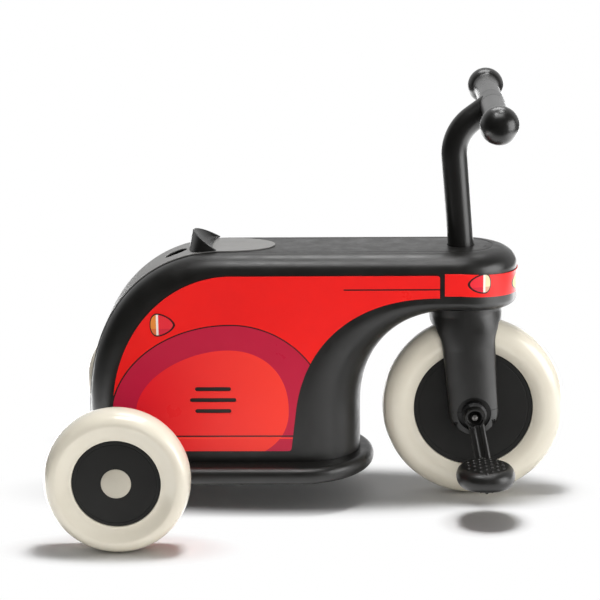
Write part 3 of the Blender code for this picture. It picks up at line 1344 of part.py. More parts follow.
def stud_spots():
    """Staggered columns of studs, fewer towards the edges."""
    for column, count in enumerate(STUDS_PER_COLUMN):
        x = (column - (len(STUDS_PER_COLUMN) - 1) / 2) * STUD_COLUMN_PITCH
        for row in range(count):
            yield x, (row - (count - 1) / 2) * STUD_ROW_PITCH


def build_studs(bm):
    """Small pyramids that stand on both faces of a pedal, with their roots sunk in it."""
    for x, y in stud_spots():
        for face in (-1, 1):
            middle = PEDAL_HALF_HEIGHT + (STUD_HEIGHT - STUD_ROOT) / 2
            bmesh.ops.create_cone(
                bm,
                cap_ends=True,
                segments=4,
                radius1=STUD_RADIUS if face > 0 else 0.0,
                radius2=0.0 if face > 0 else STUD_RADIUS,
                depth=STUD_HEIGHT + STUD_ROOT,
                matrix=Matrix.Translation((x, y, face * middle)),
            )


def make_pedal(name, side, axis):
    """An oval block with full round sides and a field of small studs on both faces."""
    outline = arc((0, 0), (PEDAL_HALF_LENGTH, PEDAL_HALF_WIDTH), 2.6, 0, 360, 20)[:-1]
    block = prism(f"pedal_{name}", outline, -PEDAL_HALF_HEIGHT, PEDAL_HALF_HEIGHT, "XY")
    pedal = place(f"pedal_{name}", block, GRIP_PLASTIC, axis)
    bevel(pedal, PEDAL_ROUNDING, 3, 60)
    add(pedal, f"pedal_studs_{name}", mesh_from("studs", build_studs), axis)
    bore = turned(f"pedal_bore_{name}", pedal_bore_profile(), BARE_STEEL, axis, SMALL_SEGMENTS, CUTTERS)
    bore.display_type = "WIRE"
    along_y(bore, 0, 0, -side * PEDAL_HALF_WIDTH, side)
    boolean(pedal, bore)


# Assembly

make_body_shell()
make_base_plate()
for panel_side_name, panel_side in SIDES:
    make_side_panel(f"side_panel_{panel_side_name}", panel_side)
make_nose_band()
make_seat_inlay()
make_tail_lip()
make_head_bushes()
make_rear_axle()
make_fork()
make_axle_bushes()
make_stem()
make_stem_bolt()
make_handlebar()

CRANK_FRAME = pivot("crank_axis", (FRONT_AXLE_X, 0, FRONT_RADIUS))
WHEEL_FRAME = pivot("front_wheel_axis", (0, 0, 0), (-math.pi / 2, 0, 0), CRANK_FRAME)
make_front_wheel(WHEEL_FRAME)
for wheel_name, wheel_side in SIDES:
    make_rear_wheel(wheel_name, wheel_side)
    make_fork_cap(wheel_name, wheel_side)
    make_pedal(wheel_name, wheel_side, make_crank(wheel_name, wheel_side, CRANK_FRAME))

bpy.context.view_layer.update()
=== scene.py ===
# %% [markdown]
# # A toddler's pedal trike in the style of a motor scooter
# The imported CAD model gives the frame: every piece below is drawn in its metres, with +X forward,
# +Y to the rider's left and +Z up. The scene puts finer surfaces and real finishes on that frame.

import json
from math import asin, atan2, copysign, cos, degrees, pi, radians, sin, sqrt, tan

import bmesh
import bpy
from mathutils import Matrix, Vector


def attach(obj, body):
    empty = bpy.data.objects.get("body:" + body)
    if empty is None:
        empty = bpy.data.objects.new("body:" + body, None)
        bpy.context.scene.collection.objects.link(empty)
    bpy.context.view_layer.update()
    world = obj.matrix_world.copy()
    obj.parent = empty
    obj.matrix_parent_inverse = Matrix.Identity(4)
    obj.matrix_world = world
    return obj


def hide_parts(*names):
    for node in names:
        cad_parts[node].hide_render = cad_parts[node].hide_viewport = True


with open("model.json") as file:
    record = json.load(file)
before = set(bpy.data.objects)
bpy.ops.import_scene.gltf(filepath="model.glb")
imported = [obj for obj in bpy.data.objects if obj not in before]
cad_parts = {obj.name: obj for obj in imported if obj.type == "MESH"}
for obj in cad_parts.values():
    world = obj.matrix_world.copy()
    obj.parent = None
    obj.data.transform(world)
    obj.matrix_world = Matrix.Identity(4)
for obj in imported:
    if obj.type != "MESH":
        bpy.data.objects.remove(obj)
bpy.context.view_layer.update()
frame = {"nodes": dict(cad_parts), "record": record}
BODY_OF = {node: body for body, nodes in frame["record"]["behaviour"]["bodies"].items() for node in nodes}

# %% [markdown]
# ## Camera
# A product photo is taken from far away with a long lens, so the trike shows little perspective.
# The place, turn and lens were fitted to the ellipses of the wheels and to the line of the floor.
# A camera looks along its own -Z, so its matrix is built from its right, up and backward directions.

# %% Camera
CAMERA_PLACE = Vector((0.05949, -2.42011, 0.80968))
CAMERA_TURN, CAMERA_TILT, CAMERA_ROLL = -0.0306, 0.2393, -0.01064
LENS_IN_PICTURE_WIDTHS = 2275.99 / 600

ahead = Vector((
    sin(CAMERA_TURN) * cos(CAMERA_TILT),
    cos(CAMERA_TURN) * cos(CAMERA_TILT),
    -sin(CAMERA_TILT),
))
level_right = Vector((cos(CAMERA_TURN), -sin(CAMERA_TURN), 0))
level_up = level_right.cross(ahead)
right = level_right * cos(CAMERA_ROLL) + level_up * sin(CAMERA_ROLL)
up = level_up * cos(CAMERA_ROLL) - level_right * sin(CAMERA_ROLL)

camera = bpy.data.objects.new("camera", bpy.data.cameras.new("camera"))
bpy.context.scene.collection.objects.link(camera)
camera.matrix_world = Matrix.Translation(CAMERA_PLACE) @ Matrix((right, up, -ahead)).transposed().to_4x4()
camera.data.sensor_width = 36
camera.data.lens = camera.data.sensor_width * LENS_IN_PICTURE_WIDTHS
bpy.context.scene.camera = camera
print("lens", round(camera.data.lens, 1), "mm")

# %% [markdown]
# ## Writing shaders in code
# A material is a small network of nodes. Short helpers keep it readable: one plugs a value or another
# node's output into a socket, one adds a node with its inputs, and a few wrap the nodes that are used
# most. The last ones open a new material, or a group of nodes that many materials share.

# %% Shader helpers
def plug(tree, socket, value):
    if isinstance(value, bpy.types.NodeSocket):
        tree.links.new(value, socket)
    elif value is not None:
        socket.default_value = value


def add_node(tree, kind, inputs=(), output=0, **settings):
    """Adds a node, fills its inputs by name or place, and gives back one of its outputs."""
    node = tree.nodes.new(kind)
    for name, value in settings.items():
        setattr(node, name, value)
    for key, value in dict(inputs).items():
        plug(tree, node.inputs[key], value)
    return node.outputs[output]


def maths(tree, operation, a, b=None):
    return add_node(tree, "ShaderNodeMath", {0: a, 1: b}, operation=operation)


def vector_maths(tree, operation, a, b):
    return add_node(tree, "ShaderNodeVectorMath", {0: a, 1: b}, operation=operation)


def map_range(tree, value, start=(0.0, 1.0), end=(0.0, 1.0), smooth=False):
    """Moves a value from one range to another and holds it inside the second."""
    inputs = {"Value": value, "From Min": start[0], "From Max": start[1], "To Min": end[0], "To Max": end[1]}
    kind = "SMOOTHSTEP" if smooth else "LINEAR"
    return add_node(tree, "ShaderNodeMapRange", inputs, interpolation_type=kind)


def mix_colour(tree, share, a, b):
    """Blends two colours; a share of 0 gives the first."""
    return add_node(tree, "ShaderNodeMix", {"Factor": share, 6: a, 7: b}, 2, data_type="RGBA")


def mix_value(tree, share, a, b):
    return add_node(tree, "ShaderNodeMix", {0: share, 2: a, 3: b})


def position(tree):
    """The place on the object itself, in metres."""
    return add_node(tree, "ShaderNodeTexCoord", output=3)


def axes(tree, vector):
    """The X, Y and Z of a vector."""
    split = tree.nodes.new("ShaderNodeSeparateXYZ")
    plug(tree, split.inputs[0], vector)
    return tuple(split.outputs)


def new_material(name):
    material = bpy.data.materials.new(name)
    material.use_nodes = True
    tree = material.node_tree
    return material, tree, tree.nodes["Principled BSDF"]


def new_group(name, inputs, outputs):
    """A node group; an input is a float with its start value, or a vector where the value is None."""
    group = bpy.data.node_groups.new(name, "ShaderNodeTree")
    for label, value in inputs.items():
        kind = "NodeSocketVector" if value is None else "NodeSocketFloat"
        socket = group.interface.new_socket(label, in_out="INPUT", socket_type=kind)
        if value is not None:
            socket.default_value = value
    for label in outputs:
        group.interface.new_socket(label, in_out="OUTPUT", socket_type="NodeSocketFloat")
    source, sink = group.nodes.new("NodeGroupInput"), group.nodes.new("NodeGroupOutput")
    return group, source.outputs, sink.inputs


def use_group(tree, group, inputs):
    node = tree.nodes.new("ShaderNodeGroup")
    node.node_tree = group
    for label, value in inputs.items():
        plug(tree, node.inputs[label], value)
    return node.outputs


# %% [markdown]
# ## Effects that many finishes share
# Moulded plastic isn't a mirror: the mould is spark-eroded, which leaves a grain of about a third of
# a millimetre, and handling leaves broad patches that are a little duller. Both come from noise, so
# each is one group with its own sizes. A third group gives the mask of an oval, the building block
# of the printed panels: it may reach and bulge differently on each side of its middle, so that it
# also draws teardrops. All of them work in metres on the object itself, so nothing slides.

# %% Grain and haze groups
def noise(tree, source, detail, roughness):
    """Noise at a group's Position, with features of its Size."""
    scale = maths(tree, "DIVIDE", 1.0, source["Size"])
    inputs = {"Vector": source["Position"], "Scale": scale, "Detail": detail, "Roughness": roughness}
    return add_node(tree, "ShaderNodeTexNoise", inputs)


GRAIN, source, sink = new_group("fine grain", {"Position": None, "Size": 0.0004}, ["Height"])
plug(GRAIN, sink["Height"], noise(GRAIN, source, 2.0, 0.6))

NOISE_SPREAD = (0.3, 0.7)
haze_inputs = {"Position": None, "Size": 0.05, "Low": 0.3, "High": 0.5}
HAZE, source, sink = new_group("handling haze", haze_inputs, ["Value"])
cloud = noise(HAZE, source, 5.0, 0.65)
plug(HAZE, sink["Value"], map_range(HAZE, cloud, NOISE_SPREAD, (source["Low"], source["High"])))
print("groups:", GRAIN.name, "and", HAZE.name)

# %% Oval group
REACHES = ("Reach back", "Reach ahead", "Reach down", "Reach up")
POWERS = ("Power back", "Power ahead")
oval_inputs = dict.fromkeys(("Across", "Upward", "Middle across", "Middle upward"), 0.0)
oval_inputs |= dict.fromkeys(REACHES, 0.1) | {"Line": 0.01} | dict.fromkeys(POWERS, 2.0)
OVAL, source, sink = new_group("oval", oval_inputs, ["Inside", "Outline"])


def share_of_reach(place, middle, low, high):
    """How far a point is from the oval's middle, as a share of the reach on its side."""
    offset = maths(OVAL, "SUBTRACT", source[place], source[middle])
    below = maths(OVAL, "DIVIDE", maths(OVAL, "MULTIPLY", offset, -1.0), source[low])
    return maths(OVAL, "MAXIMUM", below, maths(OVAL, "DIVIDE", offset, source[high]))


across = share_of_reach("Across", "Middle across", "Reach back", "Reach ahead")
upward = share_of_reach("Upward", "Middle upward", "Reach down", "Reach up")
is_ahead = maths(OVAL, "GREATER_THAN", source["Across"], source["Middle across"])
power = map_range(OVAL, is_ahead, end=(source["Power back"], source["Power ahead"]))
total = maths(OVAL, "ADD", maths(OVAL, "POWER", across, power), maths(OVAL, "POWER", upward, power))
distance = maths(OVAL, "POWER", total, maths(OVAL, "DIVIDE", 1.0, power))
plug(OVAL, sink["Inside"], maths(OVAL, "LESS_THAN", distance, 1.0))
from_rim = maths(OVAL, "ABSOLUTE", maths(OVAL, "SUBTRACT", distance, 1.0))
plug(OVAL, sink["Outline"], maths(OVAL, "LESS_THAN", from_rim, source["Line"]))
print("group:", OVAL.name)

# %% [markdown]
# ## Moulded plastics, rubber and paint
# Most of the trike is black, but not one black: body, fork and pedals are satin with a soft bloom, the
# grips and the back stop are glossier, the wheel discs are matt, and the steel tubes have a smooth
# powder coat with a faint orange peel. One function makes them all from a colour, a range of
# roughness and a grain.

# %% Moulded finishes
TINT_CLOUDS, TINT_LIFT = 0.7, 1.25  # the colour's clouds against the gloss's, and its lighter tint


def hazy(tree, place, size, low=0.0, high=1.0):
    """A value that drifts between two limits in clouds of a size."""
    return use_group(tree, HAZE, {"Position": place, "Size": size, "Low": low, "High": high})[0]


def add_bump(tree, shader, height, strength, relief):
    bump = add_node(tree, "ShaderNodeBump", {"Strength": strength, "Distance": relief, "Height": height})
    plug(tree, shader.inputs["Normal"], bump)


def moulded(name, colour, roughness, grain, relief, haze=0.05, second=None, specular=0.5):
    """A moulded or coated finish: two close colours in clouds, uneven gloss and a fine grain."""
    material, tree, shader = new_material(name)
    shader.inputs["Specular IOR Level"].default_value = specular
    place = position(tree)
    other = second or tuple(channel * TINT_LIFT for channel in colour)
    tint = mix_colour(tree, hazy(tree, place, haze * TINT_CLOUDS), (*colour, 1), (*other, 1))
    plug(tree, shader.inputs["Base Color"], tint)
    plug(tree, shader.inputs["Roughness"], hazy(tree, place, haze, *roughness))
    pits = use_group(tree, GRAIN, {"Position": place, "Size": grain})
    add_bump(tree, shader, pits[0], strength=0.6, relief=relief)
    return material


SATIN_BLACK = moulded(
    "satin_black_plastic", (0.0070, 0.0067, 0.0061), (0.28, 0.46), grain=0.0006, relief=0.00005,
    haze=0.02, specular=0.34,
)
GLOSS_BLACK = moulded(
    "glossy_black_plastic", (0.0055, 0.0053, 0.0049), (0.25, 0.32), grain=0.0006, relief=0.000004,
    specular=0.36,
)
MATT_BLACK = moulded(
    "matt_black_disc", (0.0080, 0.0078, 0.0072), (0.48, 0.60), grain=0.0007, relief=0.00004,
    specular=0.16,
)
POWDER_BLACK = moulded(
    "black_powder_coat", (0.0060, 0.0058, 0.0054), (0.28, 0.36), grain=0.0012, relief=0.00002,
    haze=0.04, specular=0.34,
)
CREAM_TYRE = moulded(
    "glossy_cream_tyre", (0.720, 0.672, 0.560), (0.18, 0.26), grain=0.0015, relief=0.00001,
    haze=0.04, second=(0.695, 0.645, 0.535), specular=0.4,
)
CREAM_CAP = moulded(
    "cream_cap", (0.500, 0.465, 0.390), (0.30, 0.40), grain=0.0006, relief=0.00002,
    haze=0.02, second=(0.470, 0.435, 0.360), specular=0.3,
)
GREY_PLASTIC = moulded(
    "grey_inlay", (0.200, 0.197, 0.190), (0.36, 0.46), grain=0.0004, relief=0.00003,
    haze=0.03, second=(0.182, 0.179, 0.174), specular=0.3,
)
DARK_NYLON = moulded(
    "dark_nylon", (0.012, 0.012, 0.012), (0.38, 0.50), grain=0.0006, relief=0.00002,
    haze=0.01, specular=0.2,
)
print("moulded finishes:", [material.name for material in bpy.data.materials])

# %% [markdown]
# Three steels show: bright zinc plate on the nuts, pins and screws, a duller one on the end of the
# crank axle, and a near-black one on the screws in the fork's caps. That near black is painted shade
# for their deep wells, since those screws are zinc plated too. Plating follows the turned metal, so
# gloss and tint change in fine bands along the wheels' axis rather than in clouds.

# %% Steels
BANDS_PER_METRE = (600.0, 4000.0, 600.0)


def plated(name, dark, light, roughness):
    """Turned metal whose tint and gloss change in fine bands along the wheels' axis."""
    material, tree, shader = new_material(name)
    shader.inputs["Metallic"].default_value = 1.0
    stretched = vector_maths(tree, "MULTIPLY", position(tree), BANDS_PER_METRE)
    bands = add_node(tree, "ShaderNodeTexNoise", {"Vector": stretched, "Scale": 1.0, "Detail": 3.0})
    plug(tree, shader.inputs["Base Color"], mix_colour(tree, bands, (*dark, 1), (*light, 1)))
    plug(tree, shader.inputs["Roughness"], map_range(tree, bands, end=roughness))
    add_bump(tree, shader, bands, strength=0.3, relief=0.00002)
    return material


ZINC_STEEL = plated("zinc_plated_steel", (0.50, 0.50, 0.49), (0.66, 0.66, 0.65), (0.22, 0.42))
DULL_STEEL = plated("dull_steel", (0.17, 0.165, 0.16), (0.26, 0.25, 0.24), (0.42, 0.55))
# Near-black steel for the fork caps' zinc screws: painted shade for the dark of their deep wells
SHADE_PAINTED_STEEL = plated("steel_with_painted_shade", (0.010, 0.010, 0.010), (0.025, 0.025, 0.025), (0.45, 0.60))
print("steels:", ZINC_STEEL.name, DULL_STEEL.name, SHADE_PAINTED_STEEL.name)

# %% [markdown]
# ## Printed panels
# The red side panels are printed with plain shapes: a broad crimson arch under a thin black line, a
# warmer red oval inside it that deepens towards the back, a trim line, and a low black line. Just under
# that line runs a lighter red line, a painted highlight for the lit lower edge of a step there.
# They could be separate films, but ink has no thickness, so they are masks in the panel's colour.
# Each lamp is a teardrop sticker in two inks with a white bar.

# %% Printing helpers
INK_BLACK = (0.022, 0.010, 0.010, 1)
PANEL_RED, DEEP_RED = (0.890, 0.015, 0.012, 1), (0.800, 0.011, 0.010, 1)
CRIMSON = (0.500, 0.013, 0.046, 1)
WARM_RED, INNER_RED = (0.930, 0.048, 0.030, 1), (0.780, 0.016, 0.024, 1)
LAMP_ORANGE, LAMP_RED = (0.800, 0.260, 0.045, 1), (0.800, 0.030, 0.045, 1)
LAMP_WHITE, LAMP_CREAM = (0.880, 0.830, 0.760, 1), (0.860, 0.700, 0.420, 1)
LAMP_YELLOW = (0.900, 0.620, 0.140, 1)
INK_LINE, LAMP_BAR = 0.0008, 0.0012
LAMP_SHADE, LAMP_SHADE_START = 0.45, 0.35


def start_print(name):
    """A new material whose ground is two close reds in broad clouds."""
    material, tree, shader = new_material(name)
    place = position(tree)
    return material, tree, shader, place, mix_colour(tree, hazy(tree, place, size=0.12), PANEL_RED, DEEP_RED)


def print_oval(tree, colour, across, upward, middle, reach, ink, outline=None, powers=(2.0, 2.0)):
    """Prints an oval over a colour; reach is back, ahead, down and up from its middle."""
    inputs = {"Across": across, "Upward": upward, "Middle across": middle[0], "Middle upward": middle[1]}
    inputs |= dict(zip(REACHES, reach)) | dict(zip(POWERS, powers)) | {"Line": INK_LINE / (sum(reach) / 4)}
    oval = use_group(tree, OVAL, inputs)
    colour = mix_colour(tree, oval["Inside"], colour, ink)
    return colour if outline is None else mix_colour(tree, oval["Outline"], colour, outline)


def between(tree, value, low, high):
    above = maths(tree, "GREATER_THAN", value, low)
    return maths(tree, "MULTIPLY", above, maths(tree, "LESS_THAN", value, high))


def print_line(tree, colour, across, upward, ends, height, ink):
    """Prints a level line between two ends."""
    level = between(tree, upward, height - INK_LINE, height + INK_LINE)
    return mix_colour(tree, maths(tree, "MULTIPLY", between(tree, across, *ends), level), colour, ink)


def lamp_sticker(tree, colour, across, upward, middle, reach, powers, bar, inks):
    """A small outlined teardrop in two inks with a white bar between them, darker along its foot."""
    fill = mix_colour(tree, maths(tree, "GREATER_THAN", across, bar), *inks)
    shade = maths(tree, "LESS_THAN", upward, middle[1] - reach[2] * LAMP_SHADE_START)
    fill = mix_colour(tree, maths(tree, "MULTIPLY", shade, LAMP_SHADE), fill, CRIMSON)
    fill = mix_colour(tree, between(tree, across, bar - LAMP_BAR, bar + LAMP_BAR), fill, LAMP_WHITE)
    return print_oval(tree, colour, across, upward, middle, reach, fill, INK_BLACK, powers)


def finish_print(tree, shader, colour, place):
    """A gloss film over the print, with the panel's faint orange peel."""
    plug(tree, shader.inputs["Base Color"], colour)
    plug(tree, shader.inputs["Roughness"], hazy(tree, place, size=0.06, low=0.26, high=0.36))
    pits = use_group(tree, GRAIN, {"Position": place, "Size": 0.0009})
    add_bump(tree, shader, pits[0], strength=0.5, relief=0.00002)
    shader.inputs["Specular IOR Level"].default_value = 0.22


# %% The side panels' print
ARCH_MIDDLE, ARCH_REACH = (-0.088, 0.100), (0.131, 0.106, 0.170, 0.1068)
OVAL_MIDDLE, OVAL_REACH, OVAL_POWERS = (-0.092, 0.112), (0.099, 0.066, 0.055, 0.067), (1.8, 2.2)
OVAL_FADE = (-0.185, -0.035)
LOW_LINE_ENDS, TRIM_ENDS = (-0.30, -0.0195), (0.034, 0.20)
# The first line is a painted highlight: lighter red under the low black line, for a step's lit lower edge
LINES = [(LOW_LINE_ENDS, 0.0806, WARM_RED), (LOW_LINE_ENDS, 0.0830, INK_BLACK)]
LINES.append((TRIM_ENDS, 0.2452, INK_BLACK))
TAIL_LAMP = {
    "middle": (-0.1660, 0.2074),
    "reach": (0.0076, 0.0181, 0.0121, 0.0121),
    "powers": (2.2, 1.6),
    "bar": -0.1660,
    "inks": (LAMP_ORANGE, LAMP_RED),
}

PANEL_PRINT, tree, shader, place, colour = start_print("printed_red_panel")
across, _, upward = axes(tree, place)
colour = print_oval(tree, colour, across, upward, ARCH_MIDDLE, ARCH_REACH, CRIMSON, INK_BLACK)
inner_ink = mix_colour(tree, map_range(tree, across, OVAL_FADE), INNER_RED, WARM_RED)
colour = print_oval(tree, colour, across, upward, OVAL_MIDDLE, OVAL_REACH, inner_ink, powers=OVAL_POWERS)
for ends, height, ink in LINES:
    colour = print_line(tree, colour, across, upward, ends, height, ink)
finish_print(tree, shader, lamp_sticker(tree, colour, across, upward, **TAIL_LAMP), place)
print("print:", PANEL_PRINT.name, "with", len(LINES), "lines")

# %% [markdown]
# The band round the head has an indicator on each side and one broad headlight on the nose. The
# indicator's mask uses the X and Z of the side, and the headlight's uses Y and Z, kept to the front.

# %% The nose band's print
INDICATOR = {
    "middle": (0.1845, 0.2505),
    "reach": (0.0175, 0.0060, 0.0103, 0.0103),
    "powers": (1.7, 2.2),
    "bar": 0.1837,
    "inks": (LAMP_RED, LAMP_CREAM),
}
HEADLIGHT_MIDDLE, HEADLIGHT_REACH = (0.0, 0.2445), (0.0306, 0.0306, 0.0112, 0.0112)
GLASS_MIDDLE, GLASS_REACH = (0.0, 0.2460), (0.019, 0.019, 0.0066, 0.0066)
FRONT_OF_BAND = 0.200

BAND_PRINT, tree, shader, place, colour = start_print("printed_nose_band")
along, across, upward = axes(tree, place)
colour = lamp_sticker(tree, colour, along, upward, **INDICATOR)
front = maths(tree, "GREATER_THAN", along, FRONT_OF_BAND)
lamp = print_oval(tree, colour, across, upward, HEADLIGHT_MIDDLE, HEADLIGHT_REACH, LAMP_YELLOW, INK_BLACK)
lamp = print_oval(tree, lamp, across, upward, GLASS_MIDDLE, GLASS_REACH, LAMP_WHITE)
finish_print(tree, shader, mix_colour(tree, front, colour, lamp), place)
print("print:", BAND_PRINT.name)

# %% [markdown]
# ## Sizes
# These are the CAD model's own sizes, in metres, repeated here.
# The body, the wheels and the steering are all placed from them, so pieces meet without fitting.

# %% Sizes of the trike
FRONT_AXLE_X, REAR_AXLE_X = 0.175, -0.199
FRONT_RADIUS, REAR_RADIUS, WHEEL_Y = 0.100, 0.076, 0.192
FIT_GAP, CROWN_GAP, OVERCUT = 0.0003, 0.0007, 0.002
TYRE_HALF_WIDTH, FRONT_DISC_RADIUS, REAR_DISC_RADIUS = 0.021, 0.065, 0.0458
RAKE = radians(4.5)
CROWN_RADIUS, CAP_SEAM = 0.040, 0.002
CROWN_UNDERSIDE = FRONT_RADIUS + 0.0045
CROWN_TOP = CROWN_UNDERSIDE + 0.0123
CROWN_WAIST = CROWN_UNDERSIDE - 0.0105
BEAM_UNDERSIDE = FRONT_RADIUS + (CROWN_TOP + 0.0016) * cos(RAKE)
BEAM_EDGE = BEAM_UNDERSIDE + 0.012
SEAT_HEIGHT = BEAM_UNDERSIDE + 0.0625
SHOULDER_EDGE = SEAT_HEIGHT - 0.0195
HEAD_TOP = (SEAT_HEIGHT - FRONT_RADIUS) / cos(RAKE)
BODY_HALF_WIDTH, SEAT_HALF_WIDTH, SHELL_WALL = 0.0625, 0.036, 0.0035
TAIL_X = REAR_AXLE_X - 0.044
PILLAR_X = FRONT_AXLE_X - FRONT_RADIUS - 0.0244
HEAD_LENGTH = 0.0625
HEAD_X = FRONT_AXLE_X + 0.0465 - HEAD_LENGTH
PLATE_BOTTOM, PLATE_TOP = 0.0345, 0.0531
SHELL_BOTTOM = PLATE_TOP + FIT_GAP
PANEL_BOTTOM = SHELL_BOTTOM + 0.0126
PANEL_THICKNESS = 0.001
PANEL_INSIDE = BODY_HALF_WIDTH + FIT_GAP
STEM_RADIUS = 0.014
THROUGH = 0.080  # how far a cutter reaches to each side to go through the body
STEERING_FRAME = Matrix.Translation((FRONT_AXLE_X, 0, FRONT_RADIUS)) @ Matrix.Rotation(-RAKE, 4, "Y")
SIDES = (("right", -1), ("left", 1))
wheelbase = FRONT_AXLE_X - REAR_AXLE_X
print("seat", round(SEAT_HEIGHT * 1000, 1), "mm high, wheelbase", round(wheelbase * 1000), "mm")

# %% [markdown]
# ## Making meshes
# Moulded and turned pieces need only a few kinds of mesh: a flat outline pulled to a thickness, a
# profile turned about an axis, and rows of points joined into a skin. Shading is smooth, with hard
# edges kept where faces meet at a clear angle. Rounding an outline's corners before it is pulled or
# turned is cheaper and cleaner than bevelling the mesh afterwards.

# %% Outline helpers
NEARLY_STRAIGHT = radians(155)
MOST_OF_A_SIDE = 0.45


def superellipse(centre, reach, power, angle):
    """A point on a superellipse, at an angle from +X; a power of 2 is a plain ellipse."""
    across = copysign(abs(cos(angle)) ** (2 / power), cos(angle))
    upward = copysign(abs(sin(angle)) ** (2 / power), sin(angle))
    return centre[0] + reach[0] * across, centre[1] + reach[1] * upward


def arc(centre, reach, power, start, end, steps):
    """Points along a stretch of a superellipse, with angles in degrees."""
    angles = [radians(start + (end - start) * i / steps) for i in range(steps + 1)]
    return [superellipse(centre, reach, power, angle) for angle in angles]


def round_arc(centre, radius, start, end, steps):
    return arc(centre, (radius, radius), 2, start, end, steps)


def rounded(points, radius, steps=4):
    """Rounds the clear corners of a closed outline."""
    result = []
    for i, point in enumerate(points):
        corner = Vector(point)
        sides = [Vector(points[i - 1]) - corner, Vector(points[(i + 1) % len(points)]) - corner]
        if sides[0].angle(sides[1]) > NEARLY_STRAIGHT:
            result.append(tuple(corner))
            continue
        reach = min(radius, *[MOST_OF_A_SIDE * side.length for side in sides])
        start, end = (corner + side.normalized() * reach for side in sides)
        for step in range(steps + 1):
            share = step / steps
            bend = start.lerp(corner, share).lerp(corner.lerp(end, share), share)
            result.append(tuple(bend))
    return result


def slot_outline(centre, length, height):
    """A level slot with round ends."""
    half = (length - height) / 2
    ends = round_arc((centre[0] + half, centre[1]), height / 2, -90, 90, 8)
    return ends + round_arc((centre[0] - half, centre[1]), height / 2, 90, 270, 8)


# %% Mesh helpers
def mesh_from(fill, sharp=32):
    """A mesh filled by a function, smooth-shaded, with edges sharper than an angle kept hard."""
    bm = bmesh.new()
    fill(bm)
    bmesh.ops.recalc_face_normals(bm, faces=bm.faces)
    mesh = bpy.data.meshes.new("mesh")
    bm.to_mesh(mesh)
    bm.free()
    mesh.shade_smooth()
    mesh.set_sharp_from_angle(angle=radians(sharp))
    return mesh


def skin(bm, rows, closed=False):
    """Faces between neighbouring rows of vertices; closed rows run round in a ring."""
    for lower, upper in zip(rows, rows[1:]):
        for i in range(len(lower) - (0 if closed else 1)):
            j = (i + 1) % len(lower)
            bm.faces.new([lower[i], lower[j], upper[j], upper[i]])


def strip(rows):
    """Rows of points joined into an open skin."""
    return mesh_from(lambda bm: skin(bm, [[bm.verts.new(point) for point in row] for row in rows]))


def stacked(rings, sharp=32):
    """Rings of points joined into a solid with a face at each end."""

    def fill(bm):
        rows = [[bm.verts.new(point) for point in ring] for ring in rings]
        skin(bm, rows, closed=True)
        bm.faces.new(rows[0])
        bm.faces.new(rows[-1])

    return mesh_from(fill, sharp)


def prism(outline, low, high, upright=False):
    """A side view pulled along Y from low to high, or a plan pulled upright along Z."""
    levels = sorted((low, high))
    return stacked([[(a, b, c) if upright else (a, c, b) for a, b in outline] for c in levels])


def box(low, high):
    outline = [(low[0], low[1]), (high[0], low[1]), (high[0], high[1]), (low[0], high[1])]
    return prism(outline, low[2], high[2], upright=True)


def turned(profile, segments=96, sharp=32):
    """A profile of (radius, height) points turned about Z; one off the axis is closed on itself."""
    closed = profile[0][0] > 0 or profile[-1][0] > 0

    def fill(bm):
        rings = []
        for radius, height in profile:
            angles = [2 * pi * i / segments for i in range(segments if radius > 0 else 1)]
            rings.append([bm.verts.new((radius * cos(a), radius * sin(a), height)) for a in angles])
        for low, high in zip(rings, rings[1:] + (rings[:1] if closed else [])):
            for i in range(segments):
                j = (i + 1) % segments
                corners = [low[i % len(low)], low[j % len(low)], high[j % len(high)], high[i % len(high)]]
                corners = list(dict.fromkeys(corners))
                if len(corners) > 2:
                    bm.faces.new(corners)

    return mesh_from(fill, sharp)


def placed(mesh, matrix):
    mesh.transform(matrix)
    return mesh


def on_axle(x, z, y=0.0, side=1):
    """The place of a turned piece whose own Z points outward along the wheels' axis."""
    return Matrix.Translation((x, y, z)) @ Matrix.Rotation(-side * pi / 2, 4, "X")


def rod(radius, low, high, segments=64):
    return turned([(0, low), (radius, low), (radius, high), (0, high)], segments)


def sideways(radius, low, high, x=0.0, z=0.0, side=1, segments=64):
    """A rod along the wheels' axis, given by its ends on one side."""
    return placed(rod(radius, low, high, segments), on_axle(x, z, 0, side))


def upright(radius, low, high, spot, segments):
    """A rod that stands over a spot of the ground plane."""
    return placed(rod(radius, low, high, segments), Matrix.Translation((*spot, 0)))


# %% [markdown]
# A drilled or slotted piece is made by carving: the tool's shape is taken away with a Boolean, as a
# machinist would, and the modifiers are then turned into plain mesh, so that no tool stays behind.
# Broad flat faces next to small round ones shade unevenly, so each piece ends with weighted normals.

# %% Carving and showing
def settle(obj):
    """Turns an object's modifiers into plain mesh."""
    bpy.context.view_layer.update()
    graph = bpy.context.evaluated_depsgraph_get()
    mesh = bpy.data.meshes.new_from_object(obj.evaluated_get(graph))
    obj.modifiers.clear()
    obj.data = mesh


def carve(obj, *tools, operation="DIFFERENCE"):
    """Cuts tool meshes out of an object, or joins them to it, and removes the tools."""
    helpers = []
    for mesh in tools:
        helper = bpy.data.objects.new("carving_tool", mesh)
        bpy.context.scene.collection.objects.link(helper)
        modifier = obj.modifiers.new("carve", "BOOLEAN")
        modifier.operation, modifier.object = operation, helper
        helpers.append(helper)
    settle(obj)
    for helper in helpers:
        bpy.data.objects.remove(helper)


def round_edges(obj, width, segments, angle=60):
    modifier = obj.modifiers.new("round edges", "BEVEL")
    modifier.width, modifier.segments = width, segments
    modifier.limit_method, modifier.angle_limit = "ANGLE", radians(angle)
    settle(obj)


def workpiece(name, mesh, material):
    obj = bpy.data.objects.new(name, mesh)
    bpy.context.scene.collection.objects.link(obj)
    mesh.name = name
    mesh.materials.append(material)
    return obj


